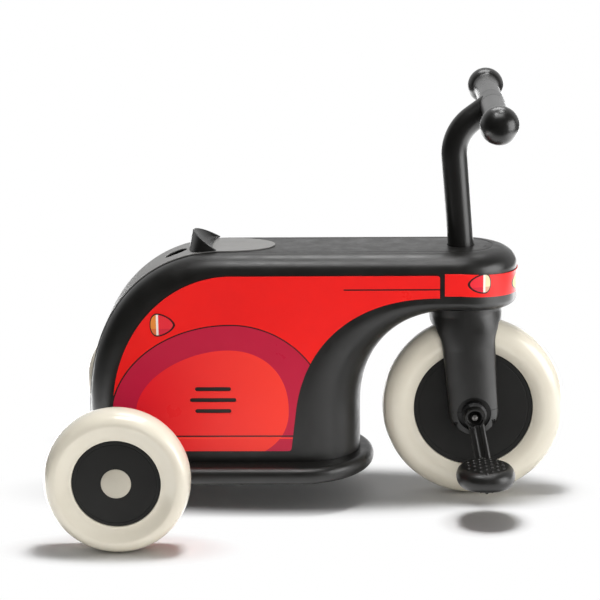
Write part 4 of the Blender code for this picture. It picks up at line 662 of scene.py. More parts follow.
def show(obj, slot, *nodes, sharp=32):
    """Puts a finished piece in the place of CAD nodes, on the body that carries them."""
    obj.data.shade_smooth()
    obj.data.set_sharp_from_angle(angle=radians(sharp))
    modifier = obj.modifiers.new("even shading", "WEIGHTED_NORMAL")
    modifier.keep_sharp = True
    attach(obj, BODY_OF[nodes[0]])
    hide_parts(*nodes)
    print(obj.name, "for", ", ".join(nodes), "with", len(obj.data.polygons), "faces")


def finished(name, mesh, material, slot, *nodes, sharp=32):
    """Shows a mesh that needs no carving."""
    show(workpiece(name, mesh, material), slot, *nodes, sharp=sharp)


# %% [markdown]
# ## Body shell
# The shell is the trike's most skilled moulding: one hollow skin whose section starts as a level seat
# beam, bends down round the wheel arch into an upright pillar and wraps round the head. Its rim is
# rolled at the seat and at the arch. It could be sculpted or subdivided from a cage, but rings of one
# changing section keep the four edge lines exact. Half is skinned, then mirrored and given a wall.

# %% Edge lines of the body
def edge_line(centre, base, length, top, power):
    """A quarter of a superellipse that falls from its top to its base, behind its centre."""
    return (centre, base), (length, top - base), power


BEND_STEPS, ROLL_STEPS, NOSE_STEPS = 48, 10, 28
TAIL_LENGTH, TAIL_EDGE_LENGTH, TAIL_EDGE_START = 0.148, 0.131, 0.156
ARCH_X, ARCH_EDGE_X = HEAD_X - 0.006, HEAD_X - 0.022
ARCH_EDGE_LENGTH = HEAD_X - PILLAR_X + 0.0416
TAIL_LINE = edge_line(TAIL_X + TAIL_LENGTH, base=0.105, length=TAIL_LENGTH, top=SEAT_HEIGHT, power=2.2)
TAIL_EDGE = edge_line(
    TAIL_X + TAIL_EDGE_START, base=0.112, length=TAIL_EDGE_LENGTH, top=SHOULDER_EDGE, power=2.0
)
ARCH_LINE = edge_line(ARCH_X, base=FRONT_RADIUS, length=ARCH_X - PILLAR_X, top=BEAM_UNDERSIDE, power=2.2)
ARCH_EDGE = edge_line(ARCH_EDGE_X, base=0.080, length=ARCH_EDGE_LENGTH, top=BEAM_EDGE, power=2.3)
BELLY_HALF_WIDTH, BELLY_POWER, PILLAR_TIP = 0.040, 1.5, 0.001
GROOVE_DEPTH, GROOVE_WIDTH = 0.0008, 0.0016
BAND_TOP = SEAT_HEIGHT - 0.0187
BAND_BOTTOM = BAND_TOP - 0.0243
BAND_MIDDLE = (BAND_TOP + BAND_BOTTOM) / 2


def rolled_rim(line, edge, inner_half_width):
    """Points that roll from a line on top or below to its edge on the flat side."""
    points = []
    for i in range(ROLL_STEPS + 1):
        angle = pi / 2 * i / ROLL_STEPS
        share = 1 - cos(angle)
        x, z = (a + (b - a) * share for a, b in zip(line, edge))
        points.append((x, inner_half_width + (BODY_HALF_WIDTH - inner_half_width) * sin(angle), z))
    return points


def half_section(tail_line, tail_edge, arch_line, arch_edge, belly_half_width, outward):
    """Half a ring, from the seat's middle line over the side to the middle of the underside."""
    x, z = tail_line
    groove = (x - GROOVE_DEPTH * outward[0], SEAT_HALF_WIDTH, z - GROOVE_DEPTH * outward[1])
    seat = [(x, 0.0, z), (x, SEAT_HALF_WIDTH - GROOVE_WIDTH, z), groove]
    shoulder = rolled_rim(tail_line, tail_edge, SEAT_HALF_WIDTH + GROOVE_WIDTH)
    belly = rolled_rim(arch_line, arch_edge, max(belly_half_width, PILLAR_TIP))
    return [*seat, *shoulder, *belly[::-1], (arch_line[0], 0.0, arch_line[1])]


def body_sections():
    """The rings from the shell's foot up round the bend to the start of the head."""
    sections = []
    for i in range(BEND_STEPS + 1):
        angle = radians(180 - 90 * i / BEND_STEPS)
        lines = [superellipse(*line, angle) for line in (TAIL_LINE, TAIL_EDGE, ARCH_LINE, ARCH_EDGE)]
        outward = (cos(angle), sin(angle))
        if i == 0:
            sections.append(half_section(*[(x, SHELL_BOTTOM) for x, _ in lines], 0.0, outward))
        belly_half_width = BELLY_HALF_WIDTH * sin(angle) ** BELLY_POWER
        sections.append(half_section(*lines, belly_half_width, outward))
    head = [(HEAD_X, z) for z in (SEAT_HEIGHT, SHOULDER_EDGE, BEAM_UNDERSIDE, BEAM_EDGE)]
    return [*sections, half_section(*head, BELLY_HALF_WIDTH, (0, 1))]


def head_lean(x):
    """How far the head's lower half sinks towards the nose, with the fork's lean."""
    return tan(RAKE) * max(0.0, x - HEAD_X)


def fill_half_body(bm):
    sections = body_sections()
    rings = [[bm.verts.new(point) for point in section] for section in sections]
    skin(bm, rings)
    top, *side_row, low = rings[-1]
    rows = [side_row]
    for i in range(1, NOSE_STEPS + 1):
        angle = pi / 2 * (1 - i / NOSE_STEPS)
        row = []
        for _, half_width, z in sections[-1][1:-1]:
            x = HEAD_X + HEAD_LENGTH * half_width / BODY_HALF_WIDTH * cos(angle)
            y = half_width * sin(angle) if i < NOSE_STEPS else 0.0
            row.append(bm.verts.new((x, y, z - (head_lean(x) if z < BAND_MIDDLE else 0.0))))
        rows.append(row)
    skin(bm, rows)
    for lower, upper in zip(rows, rows[1:]):
        bm.faces.new([top, lower[0], upper[0]])
        bm.faces.new([low, upper[-1], lower[-1]])


shell = workpiece("moulded_shell", mesh_from(fill_half_body), SATIN_BLACK)
mirror = shell.modifiers.new("other half", "MIRROR")
mirror.use_axis, mirror.merge_threshold = (False, True, False), 0.00005
wall = shell.modifiers.new("wall", "SOLIDIFY")
wall.thickness, wall.offset, wall.use_even_offset = SHELL_WALL, -1, True
settle(shell)
print("shell skin:", len(shell.data.polygons), "faces")

# %% [markdown]
# Inside the head are a cup that the fork's crown turns in and a tube for the two bushes. The axle's
# hole, the oval grip hole in the tail and the bores follow. They are carved in the order that a
# toolmaker would build them: first what is added, then what is drilled away. The stem's hole is
# narrow only in the seat's skin, and the wider bore of the upper bush lies under it.

# %% Head cup, bores and holes
BUSH_OUTER, UPPER_BUSH_OUTER = 0.0235 + FIT_GAP, 0.0185 + FIT_GAP
BUSH_DROP, UPPER_BUSH_LENGTH = 0.0018, 0.0075
BUSH_SEAT = HEAD_TOP - BUSH_DROP - UPPER_BUSH_LENGTH - CROWN_GAP
CUP_RADIUS, CUP_ROOM, HEAD_TUBE_RADIUS = 0.0455, 0.042, 0.0275
SEAT_SKIN, STEM_ROOM = 0.0017, 0.001
AXLE_TUBE_RADIUS, AXLE_HOLE_REACH = 0.011, 0.066
TAIL_HOLE_X, TAIL_HOLE_HALF, TAIL_HOLE_DEPTH = REAR_AXLE_X + 0.050, (0.0125, 0.0095), 0.0105
TAIL_HOLE_POWER, TAIL_SLOPE_STEP = 2.2, 0.002
# The cup's side view, in crown radii ahead of the front axle and above the beam's underside
CUP_TRIM = [(-1.5, -0.12), (-0.95, 0.01), (-0.4, 0.01), (0.6, -0.035), (1.0, -0.015)]
CUP_TRIM += [(1.0, 0.75), (-1.5, 0.75)]


def surface_top(x):
    """Height of the seat and tail line over a place along the body."""
    (centre_x, centre_z), (reach_x, reach_z), power = TAIL_LINE
    if x >= centre_x:
        return SEAT_HEIGHT
    share = min(1.0, (centre_x - x) / reach_x)
    return centre_z + reach_z * (1 - share**power) ** (1 / power)


def tail_hole(grow=0.0):
    """An oval plug that stands square to the tail's slope."""
    x, step = TAIL_HOLE_X, TAIL_SLOPE_STEP
    slope = atan2(surface_top(x + step) - surface_top(x - step), 2 * step)
    half_length, half_width = (half + grow for half in TAIL_HOLE_HALF)
    outline = arc((0, 0), (half_length, half_width), TAIL_HOLE_POWER, 0, 360, 48)[:-1]
    hole = prism(outline, -TAIL_HOLE_DEPTH, TAIL_HOLE_DEPTH, upright=True)
    return placed(hole, Matrix.Translation((x, 0, surface_top(x))) @ Matrix.Rotation(-slope, 4, "Y"))


def head_tool(radius, low, high):
    return placed(rod(radius, low, high), STEERING_FRAME)


cup = workpiece("head_cup", head_tool(CUP_RADIUS, CROWN_WAIST, CROWN_TOP + 2 * SHELL_WALL), SATIN_BLACK)
trim = [(FRONT_AXLE_X + x * CROWN_RADIUS, BEAM_UNDERSIDE + z * CROWN_RADIUS) for x, z in CUP_TRIM]
carve(cup, prism(trim, -THROUGH, THROUGH), operation="INTERSECT")
head_tube = head_tool(HEAD_TUBE_RADIUS, CROWN_TOP + SHELL_WALL, HEAD_TOP - SHELL_WALL / 2)
carve(shell, cup.data, head_tube, operation="UNION")
bpy.data.objects.remove(cup)
axle_hole_radius = AXLE_TUBE_RADIUS + FIT_GAP
carve(
    shell,
    head_tool(CUP_ROOM, CROWN_WAIST - OVERCUT, CROWN_TOP + CROWN_GAP),
    head_tool(BUSH_OUTER, CROWN_WAIST, BUSH_SEAT),
    head_tool(UPPER_BUSH_OUTER, BUSH_SEAT - OVERCUT, HEAD_TOP - SEAT_SKIN),
    head_tool(STEM_RADIUS + STEM_ROOM, BUSH_SEAT, HEAD_TOP + STEM_RADIUS),
    sideways(axle_hole_radius, -AXLE_HOLE_REACH, AXLE_HOLE_REACH, REAR_AXLE_X, REAR_RADIUS),
    tail_hole(),
)
print("drilled shell:", len(shell.data.polygons), "faces")

# %% Screw posts inside the shell
POST_RADIUS, POST_BLEND, POST_TOP = 0.0062, 0.0015, SHELL_BOTTOM + 0.024
PILOT_RADIUS, PILOT_TOP = 0.0023, 0.0718
SCREW_Y = BODY_HALF_WIDTH - SHELL_WALL - POST_RADIUS + POST_BLEND
SCREW_SPOTS = [(x, side * SCREW_Y) for x in (REAR_AXLE_X + 0.026, PILLAR_X - 0.0906) for side in (-1, 1)]
posts = [upright(POST_RADIUS, SHELL_BOTTOM, POST_TOP, spot, 32) for spot in SCREW_SPOTS]
pilots = [upright(PILOT_RADIUS, PLATE_TOP - OVERCUT, PILOT_TOP, spot, 24) for spot in SCREW_SPOTS]
carve(shell, *posts, operation="UNION")
carve(shell, *pilots)
show(shell, "black_moulded_plastic", "body_shell")

# %% [markdown]
# ## Red panels, nose band and seat inlay
# On the real toy these are thin inserts set on the black shell. A panel is one flat outline with its
# corners rounded, pulled to a millimetre and rounded along every edge, so that a thin line of light
# runs round it. The three vents come next, each a slot inside a slightly wider step, and a finer
# rounding gives them lips that catch light. The band and the inlay follow curved surfaces, so they
# are strips of points with a wall added outward.

# %% Side panels
PANEL_TAIL_INSET, PANEL_TOP_INSET = 0.002, 0.001
PANEL_ARCH_INSET, PANEL_ARCH_RISE = 0.007, 0.0055
PANEL_FOOT_X, PANEL_FRONT_X = PILLAR_X - 0.0744, HEAD_X - 0.0226
PANEL_CORNER, PANEL_EDGE = 0.0035, 0.00045
PANEL_AXLE_HOLE = 0.013
VENT_X, VENT_TOP, VENT_PITCH = REAR_AXLE_X + 0.0914, 0.1358, 0.0123
VENT_LENGTHS, VENT_HEIGHT = (0.039, 0.050, 0.039), 0.0045
VENT_STEP, VENT_STEP_DEPTH, VENT_EDGE = 0.0018, 0.0005, 0.0002
VENT_OVERCUT, STEP_OVERCUT = 0.001, 0.0012


def panel_outline():
    tail_centre, (tail_length, tail_height), tail_power = TAIL_EDGE
    arch_centre, (arch_length, arch_height), arch_power = ARCH_EDGE
    tail_reach = (tail_length - PANEL_TAIL_INSET, tail_height - PANEL_TOP_INSET)
    arch_reach = (arch_length + PANEL_ARCH_INSET, arch_height + PANEL_ARCH_RISE)
    tail = arc(tail_centre, tail_reach, tail_power, 90, 180, 60)
    arch = arc(arch_centre, arch_reach, arch_power, 170, 90, 48)
    foot = [(tail[-1][0], PANEL_BOTTOM), (PANEL_FOOT_X, PANEL_BOTTOM)]
    front = [(PANEL_FRONT_X, arch[-1][1]), (PANEL_FRONT_X, tail[0][1])]
    return rounded([*tail, *foot, *arch, *front], PANEL_CORNER)


for side_name, side in SIDES:
    name = f"printed_panel_{side_name}"
    inner, outer = side * PANEL_INSIDE, side * (PANEL_INSIDE + PANEL_THICKNESS)
    panel = workpiece(name, prism(panel_outline(), inner, outer), PANEL_PRINT)
    carve(panel, sideways(PANEL_AXLE_HOLE, -THROUGH, THROUGH, REAR_AXLE_X, REAR_RADIUS))
    round_edges(panel, PANEL_EDGE, 3)
    cuts = []
    for row, length in enumerate(VENT_LENGTHS):
        middle = (VENT_X, VENT_TOP - row * VENT_PITCH)
        vent = slot_outline(middle, length, VENT_HEIGHT)
        step = slot_outline(middle, length + VENT_STEP, VENT_HEIGHT + VENT_STEP)
        cuts.append(prism(vent, inner - side * VENT_OVERCUT, outer + side * VENT_OVERCUT))
        cuts.append(prism(step, outer - side * VENT_STEP_DEPTH, outer + side * STEP_OVERCUT))
    carve(panel, *cuts)
    round_edges(panel, VENT_EDGE, 2)
    show(panel, "red_panel", f"side_panel_{side_name}", sharp=60)

# %% Nose band
BAND_BACK_X, BAND_STRAIGHT_X, BAND_EDGE = HEAD_X - 0.0174, HEAD_X - 0.006, 0.0003
nose = arc((HEAD_X, 0), (HEAD_LENGTH + FIT_GAP, PANEL_INSIDE), 2, 90, -90, 72)
straight = [(BAND_BACK_X, PANEL_INSIDE), (BAND_STRAIGHT_X, PANEL_INSIDE)]
BAND_PATH = [*straight, *nose, *[(x, -y) for x, y in reversed(straight)]]


def add_wall(obj, toward):
    """Thickens an open strip, on the side of its middle face that points outward."""
    middle = obj.data.polygons[len(obj.data.polygons) // 2]
    wall = obj.modifiers.new("wall", "SOLIDIFY")
    wall.thickness, wall.use_even_offset = PANEL_THICKNESS, True
    wall.offset = 1 if middle.normal.dot(Vector(toward)) > 0 else -1
    settle(obj)


heights = (BAND_TOP, BAND_MIDDLE, BAND_BOTTOM)
band_rows = [[(x, y, z - head_lean(x)) for z in heights] for x, y in BAND_PATH]
band = workpiece("printed_band", strip(band_rows), BAND_PRINT)
add_wall(band, (1, 0, 0))
round_edges(band, BAND_EDGE, 3)
show(band, "red_panel", "nose_band", sharp=60)

# %% Seat inlay
INLAY_HALF_WIDTH = SEAT_HALF_WIDTH - 0.002
INLAY_FRONT_X, INLAY_OVAL_LENGTH, INLAY_TIP = REAR_AXLE_X + 0.158, 0.055, 0.0004
INLAY_BEND_STEPS, INLAY_OVAL_STEPS = 60, 24
INLAY_EDGE, INLAY_HOLE_MARGIN = 0.00025, 0.0004


def inlay_stations():
    """Places, outward directions and half-widths, from the tail's foot to the oval tip on the seat."""
    stations = [((TAIL_X, PANEL_BOTTOM), (-1, 0), INLAY_HALF_WIDTH)]
    _, (reach_x, reach_z), power = TAIL_LINE
    steep = 2 - 2 / power
    for i in range(INLAY_BEND_STEPS + 1):
        angle = radians(180 - 90 * i / INLAY_BEND_STEPS)
        outward = (-(abs(cos(angle)) ** steep) / reach_x, abs(sin(angle)) ** steep / reach_z)
        stations.append((superellipse(*TAIL_LINE, angle), outward, INLAY_HALF_WIDTH))
    for i in range(3, INLAY_OVAL_STEPS + 1):
        angle = pi / 2 * i / INLAY_OVAL_STEPS
        x = INLAY_FRONT_X - INLAY_OVAL_LENGTH * (1 - sin(angle))
        stations.append(((x, SEAT_HEIGHT), (0, 1), max(INLAY_HALF_WIDTH * cos(angle), INLAY_TIP)))
    return stations


inlay_rows = []
for (x, z), outward, half_width in inlay_stations():
    lift = Vector(outward).normalized() * FIT_GAP
    inlay_rows.append([(x + lift.x, y, z + lift.y) for y in (-half_width, 0.0, half_width)])
inlay = workpiece("grey_strip", strip(inlay_rows), GREY_PLASTIC)
add_wall(inlay, (-0.5, 0, 1))
carve(inlay, tail_hole(INLAY_HOLE_MARGIN))
round_edges(inlay, INLAY_EDGE, 2)
show(inlay, "grey_inlay", "seat_inlay", sharp=60)

# %% [markdown]
# ## Tail lip
# The small raised lip stops a child from sliding back. Its rim is a horseshoe that is highest at the
# back and runs out to two tips, and its front is a hollowed ramp. Rows from the outside foot over the
# rolled rim and down the ramp, turned round the horseshoe, give that shape directly.

# %% Tail lip
LIP_X, LIP_LIFT = REAR_AXLE_X + 0.096, PANEL_THICKNESS + 3.5 * FIT_GAP
LIP_HEIGHT, LIP_EDGE, LIP_RIM, LIP_ROLL, LIP_HOLLOW = 0.0155, 0.0008, 0.0018, 0.0009, 0.35
LIP_CREST_LENGTH, LIP_CREST_INSET, LIP_STEPS = 0.0275, 0.0005, 48
RAMP_SHARES = (0.15, 0.3, 0.45, 0.6, 0.75, 0.88)
LIP_FOOT = ((LIP_X, 0), (0.031, SEAT_HALF_WIDTH), 2.8)
LIP_CREST = ((LIP_X, 0), (LIP_CREST_LENGTH, SEAT_HALF_WIDTH - LIP_CREST_INSET), 1.8)
LIP_RAMP = ((LIP_X, 0), (0.006, SEAT_HALF_WIDTH - 0.003), 2.0)


def lip_row(angle):
    """Points from the outside foot over the rim and down the hollowed ramp, and back underneath."""
    foot, (x, y), (ramp_x, ramp_y) = (superellipse(*line, angle) for line in (LIP_FOOT, LIP_CREST, LIP_RAMP))
    height = LIP_HEIGHT * (LIP_X - x) / LIP_CREST_LENGTH + LIP_EDGE
    inset = Vector((LIP_X - x, -y, 0)).normalized() * LIP_RIM
    base = Vector((*foot, surface_top(foot[0]) + LIP_LIFT))
    crest = Vector((x, y, SEAT_HEIGHT + LIP_LIFT + height))
    inner = crest + inset
    ramp = Vector((min(ramp_x, LIP_X - LIP_CREST_INSET), ramp_y, SEAT_HEIGHT + LIP_LIFT + LIP_EDGE))
    drop = Vector((0, 0, -min(LIP_ROLL, height * 0.4)))
    row = [base, base.lerp(crest, 0.5), crest + drop, crest + inset * 0.2 + drop * 0.25, crest + inset * 0.5]
    row += [inner - inset * 0.1 + drop * 0.2, inner + drop]
    for share in RAMP_SHARES:
        row.append(inner.lerp(ramp, share) + Vector((0, 0, -LIP_HOLLOW * height * sin(pi * share))))
    return [*row, ramp, Vector((ramp.x, ramp.y, surface_top(ramp.x) + LIP_LIFT))]


lip = stacked([lip_row(radians(90 + 180 * i / LIP_STEPS)) for i in range(LIP_STEPS + 1)], 45)
finished("back_stop", lip, GLOSS_BLACK, "grip_plastic", "tail_lip", sharp=50)

# %% [markdown]
# ## Base plate
# The plate is a thick board with a bullnose round its rim, ribbed below to save plastic. The nose in
# front is half an ellipse and the two back corners are wide. The bullnose is a bevel of many steps.

# %% Base plate
PLATE_HALF_WIDTH, PLATE_NOSE, PLATE_CORNER, PLATE_ROUNDING = 0.090, 0.080, 0.045, 0.0087
PLATE_FRONT_X, PLATE_BACK_X = FRONT_AXLE_X - FRONT_RADIUS - 0.0095, REAR_AXLE_X - 0.058
POCKET_ROWS, POCKET_COLUMNS = 4, 3
POCKET_START_X, POCKET_PITCH = REAR_AXLE_X - 0.028, 0.05625
POCKETS_HALF_WIDTH = SCREW_Y - 0.0058
HALF_RIB, PLATE_SKIN = 0.002, 0.004
SCREW_HEAD_HOLE, SCREW_SEAT = 0.0041, 0.0438


def plate_outline():
    front = arc((PLATE_FRONT_X - PLATE_NOSE, 0), (PLATE_NOSE, PLATE_HALF_WIDTH), 2, -90, 90, 72)
    corner_x, corner_y = PLATE_BACK_X + PLATE_CORNER, PLATE_HALF_WIDTH - PLATE_CORNER
    left = round_arc((corner_x, corner_y), PLATE_CORNER, 90, 180, 20)
    return [*front[:-1], *left, *round_arc((corner_x, -corner_y), PLATE_CORNER, 180, 270, 20)[:-1]]


plate_mesh = prism(plate_outline(), PLATE_BOTTOM, PLATE_TOP, upright=True)
plate = workpiece("bullnosed_plate", plate_mesh, SATIN_BLACK)
round_edges(plate, PLATE_ROUNDING, 7)
cuts = []
for row in range(POCKET_ROWS):
    for column in range(POCKET_COLUMNS):
        x = POCKET_START_X + row * POCKET_PITCH
        y = (column * 2 / POCKET_COLUMNS - 1) * POCKETS_HALF_WIDTH
        low = (x + HALF_RIB, y + HALF_RIB, PLATE_BOTTOM - OVERCUT)
        far_y = y + POCKETS_HALF_WIDTH * 2 / POCKET_COLUMNS - HALF_RIB
        cuts.append(box(low, (x + POCKET_PITCH - HALF_RIB, far_y, PLATE_TOP - PLATE_SKIN)))
for spot in SCREW_SPOTS:
    cuts.append(upright(PILOT_RADIUS, PLATE_BOTTOM - OVERCUT, PLATE_TOP + OVERCUT, spot, 24))
    cuts.append(upright(SCREW_HEAD_HOLE, PLATE_BOTTOM - OVERCUT, SCREW_SEAT, spot, 32))
carve(plate, *cuts)
show(plate, "black_moulded_plastic", "base_plate")

# %% [markdown]
# ## Wheels
# Each tyre is one smooth ring of cream rubber: a full round tread flows without an edge into the
# flank, which is nearly flat on the front wheel and dished on the rear ones, and ends in a bead round
# the black disc. The hub is two halves that meet in the middle. Turning a profile about the axle makes
# all of them, and rounding the profile first makes every edge catch light.

# %% Wheel profiles
BEAD_HALF_WIDTH, BEAD_FOOT, BEAD_DEPTH, BEAD_LIP = 0.0153, 0.0108, 0.0045, 0.0008
LIP_EASE_IN, LIP_EASE_DOWN, FLANK_STEPS = 0.0002, 0.0003, 14
DISC_FACE, DISC_BACK, HUB_POCKET_FLOOR, HUB_ROUNDING = 0.0137, 0.0111, 0.0043, 0.0006
RING_SHARE, RING_DEPTH, RING_WIDTH = 0.93, 0.0003, 0.0013
CRANK_AXLE_BORE, REAR_AXLE_BORE, REAR_HUB_RECESS = 0.0063, 0.0054, 0.0135


def tyre_profile(radius, disc_radius, crown, dish, fullness):
    """The middle of the tread to the bead on one side, and its reflection; dish hollows the flank."""
    side = radius - crown
    half = arc((side, 0), (crown, TYRE_HALF_WIDTH), fullness, 0, 90, 24)
    bead_radius = disc_radius + FIT_GAP
    for i in range(1, FLANK_STEPS + 1):
        share = i / FLANK_STEPS
        reach = side + (bead_radius + BEAD_LIP - side) * share
        drop = (1 - dish) * share**2 + dish * share**1.5 * (2.5 - 1.5 * share)
        half.append((reach, TYRE_HALF_WIDTH + (BEAD_HALF_WIDTH - TYRE_HALF_WIDTH) * drop))
    half.append((bead_radius + LIP_EASE_IN, BEAD_HALF_WIDTH - LIP_EASE_DOWN))
    half += [(bead_radius, BEAD_HALF_WIDTH - BEAD_LIP), (bead_radius, BEAD_FOOT)]
    half.append((disc_radius - BEAD_DEPTH, BEAD_FOOT))
    return [*half[:0:-1], *[(reach, -width) for reach, width in half]]


def hub_profile(disc_radius, bore, recess=0.0):
    """One half of a hub, from the rounded rim of its disc inward, with a shallow ring in its face."""
    core = disc_radius - BEAD_DEPTH - FIT_GAP
    profile = [(bore, FIT_GAP / 2), (core, FIT_GAP / 2), (core, DISC_BACK)]
    profile += [(disc_radius, DISC_BACK), (disc_radius, DISC_FACE)]
    ring = disc_radius * RING_SHARE
    profile += [(ring, DISC_FACE), (ring - RING_DEPTH, DISC_FACE - RING_DEPTH)]
    profile += [(ring - RING_WIDTH + RING_DEPTH, DISC_FACE - RING_DEPTH), (ring - RING_WIDTH, DISC_FACE)]
    if recess:
        profile += [(recess, DISC_FACE), (recess, HUB_POCKET_FLOOR), (bore, HUB_POCKET_FLOOR)]
    else:
        profile.append((bore, DISC_FACE))
    return rounded(profile, HUB_ROUNDING)


# %% Front wheel
tread = tyre_profile(FRONT_RADIUS, FRONT_DISC_RADIUS, crown=0.020, dish=0.0, fullness=2.2)
tread_mesh = placed(turned(tread, 160), on_axle(FRONT_AXLE_X, FRONT_RADIUS))
finished("front_tread", tread_mesh, CREAM_TYRE, "cream_tyre", "front_tyre", sharp=50)
disc_profile = hub_profile(FRONT_DISC_RADIUS, CRANK_AXLE_BORE)
for side_name, side in SIDES:
    name = f"front_disc_{side_name}"
    disc = placed(turned(disc_profile, 128), on_axle(FRONT_AXLE_X, FRONT_RADIUS, 0, side))
    finished(name, disc, MATT_BLACK, "black_hub", f"front_hub_{side_name}")

# %% Rear wheels
tread = tyre_profile(REAR_RADIUS, REAR_DISC_RADIUS, crown=0.013, dish=1.0, fullness=2.4)
cap_dome = [(0.0, 0.0166), (0.0062, 0.0164), (0.0105, 0.0160), (0.0135, 0.01535), (0.0150, 0.0147)]
CAP_RADIUS, SKIRT_OUTSIDE, SKIRT_INSIDE, CAP_UNDERSIDE, SKIRT_FOOT = 0.0155, 0.0132, 0.0118, 0.0140, 0.0118
skirt = [(SKIRT_OUTSIDE, CAP_UNDERSIDE), (SKIRT_OUTSIDE, SKIRT_FOOT)]
skirt += [(SKIRT_INSIDE, SKIRT_FOOT), (SKIRT_INSIDE, CAP_UNDERSIDE)]
cap_profile = [*cap_dome, (CAP_RADIUS, 0.0143), (CAP_RADIUS, CAP_UNDERSIDE), *skirt, (0.0, CAP_UNDERSIDE)]
for side_name, side in SIDES:
    outward, inward = (on_axle(REAR_AXLE_X, REAR_RADIUS, side * WHEEL_Y, turn) for turn in (side, -side))
    tread_mesh = placed(turned(tread, 144), outward)
    name, node = f"rear_tread_{side_name}", f"rear_tyre_{side_name}"
    finished(name, tread_mesh, CREAM_TYRE, "cream_tyre", node, sharp=50)
    for part, place, recess in (("outer", outward, REAR_HUB_RECESS), ("inner", inward, 0.0)):
        disc_profile = hub_profile(REAR_DISC_RADIUS, REAR_AXLE_BORE, recess)
        disc = placed(turned(disc_profile, 112), place)
        name, node = f"rear_disc_{part}_{side_name}", f"rear_hub_{part}_{side_name}"
        finished(name, disc, MATT_BLACK, "black_hub", node)
    button = placed(turned(cap_profile, 80), outward)
    finished(f"axle_button_{side_name}", button, CREAM_CAP, "cream_cap", f"rear_hub_cap_{side_name}")

# %% [markdown]
# ## Stem, crossbar and ball grips
# The stem is a round steel tube bent once, so it is swept along a line with an arc in it, and its end
# is cut to sit on the crossbar. Each grip is a slightly waisted sleeve that swells into a ball.

# %% Stem
STEM_FOOT, STEM_BEND_START = CROWN_UNDERSIDE + 0.004, HEAD_TOP + 0.096
BEND_RADIUS, BEND_ANGLE, BEND_STRAIGHT = 0.048, radians(58.5), 0.004
STEM_REACH, SADDLE_DEPTH = 0.0253, 0.003
SADDLE_RADIUS, SADDLE_HALF = 0.0135, 0.030
STEM_BORE, STEM_BORE_BELOW, STEM_BORE_ABOVE = 0.0124, 0.010, 0.050


def bend_point(angle):
    return BEND_RADIUS * (1 - cos(angle)), STEM_BEND_START + BEND_RADIUS * sin(angle)


def past_bend(reach):
    x, z = bend_point(BEND_ANGLE)
    return x + reach * sin(BEND_ANGLE), z + reach * cos(BEND_ANGLE)


def swept(path, radius, sides=64):
    """A round bar along a path in the XZ plane."""
    angles = [2 * pi * k / sides for k in range(sides)]
    rings = []
    for i, (x, z) in enumerate(path):
        before, after = path[max(i - 1, 0)], path[min(i + 1, len(path) - 1)]
        along = Vector((after[0] - before[0], 0, after[1] - before[1])).normalized()
        across, depth = Vector((along.z, 0, -along.x)) * radius, Vector((0, radius, 0))
        rings.append([Vector((x, 0, z)) + across * cos(a) + depth * sin(a) for a in angles])
    return stacked(rings)


straight = [(0.0, STEM_FOOT), (0.0, STEM_BEND_START - BEND_STRAIGHT)]
bend = [bend_point(BEND_ANGLE * i / 40) for i in range(41)]
stem_path = [*straight, *bend, past_bend(BEND_STRAIGHT), past_bend(STEM_REACH - SADDLE_DEPTH)]
stem = workpiece("bent_stem", placed(swept(stem_path, STEM_RADIUS), STEERING_FRAME), POWDER_BLACK)
bar_x, bar_z = past_bend(STEM_REACH)
BAR_PLACE = STEERING_FRAME @ on_axle(bar_x, bar_z)
carve(stem, placed(rod(SADDLE_RADIUS, -SADDLE_HALF, SADDLE_HALF), BAR_PLACE))
stem_bore = rod(STEM_BORE, STEM_FOOT - STEM_BORE_BELOW, STEM_FOOT + STEM_BORE_ABOVE, 48)
carve(stem, placed(stem_bore, STEERING_FRAME))
show(stem, "black_painted_steel", "handlebar_stem")

# %% Crossbar and grips
CORE_RADIUS, CORE_BORE, CORE_END, MIDDLE_RADIUS = 0.0105, 0.0090, 0.132, 0.0136
GRIP_START, GRIP_BORE_END = 0.018, 0.134
BALL_CENTRE, BALL_RADIUS, NECK_RADIUS = 0.140, 0.020, 0.0143
WAIST_RADIUS, WAIST_STEPS, WAIST_PITCH = 0.0133, 10, 0.0052
NECK_STEPS, NECK_POWER = 6, 0.7
SLEEVE_RADIUS = 0.0134

shoulder = GRIP_START - FIT_GAP
half_bar = [(CORE_RADIUS, CORE_END), (CORE_RADIUS, shoulder), (MIDDLE_RADIUS, shoulder)]
bar_profile = half_bar + [(radius, -place) for radius, place in reversed(half_bar)]
bar_profile += [(CORE_BORE, -CORE_END), (CORE_BORE, CORE_END)]
bar = placed(turned(bar_profile, 64), BAR_PLACE)
finished("straight_crossbar", bar, POWDER_BLACK, "black_painted_steel", "crossbar")

neck_angle = degrees(asin(NECK_RADIUS / BALL_RADIUS))
ball = round_arc((0, BALL_CENTRE), BALL_RADIUS, 88, neck_angle - 90, 40)
neck = ball[-1]
waist = []
for i in range(1, WAIST_STEPS + 1):
    narrowing = min(1.0, i / NECK_STEPS) ** NECK_POWER
    waist.append((neck[0] + (WAIST_RADIUS - neck[0]) * narrowing, neck[1] - WAIST_PITCH * i))
sleeve_end = [(WAIST_RADIUS, 0.060), (SLEEVE_RADIUS, 0.040)]
sleeve_end += [(MIDDLE_RADIUS, 0.0205), (MIDDLE_RADIUS, 0.0188), (SLEEVE_RADIUS, GRIP_START)]
bore_radius = CORE_RADIUS + FIT_GAP
grip_bore = [(bore_radius, GRIP_START), (bore_radius, GRIP_BORE_END), (0.0, GRIP_BORE_END)]
grip_profile = [(0.0, BALL_CENTRE + BALL_RADIUS), *ball, *waist, *sleeve_end, *grip_bore]
for side_name, side in SIDES:
    grip = placed(turned(grip_profile, 80), STEERING_FRAME @ on_axle(bar_x, bar_z, 0, side))
    finished(f"ball_grip_{side_name}", grip, GLOSS_BLACK, "grip_plastic", f"grip_{side_name}", sharp=50)

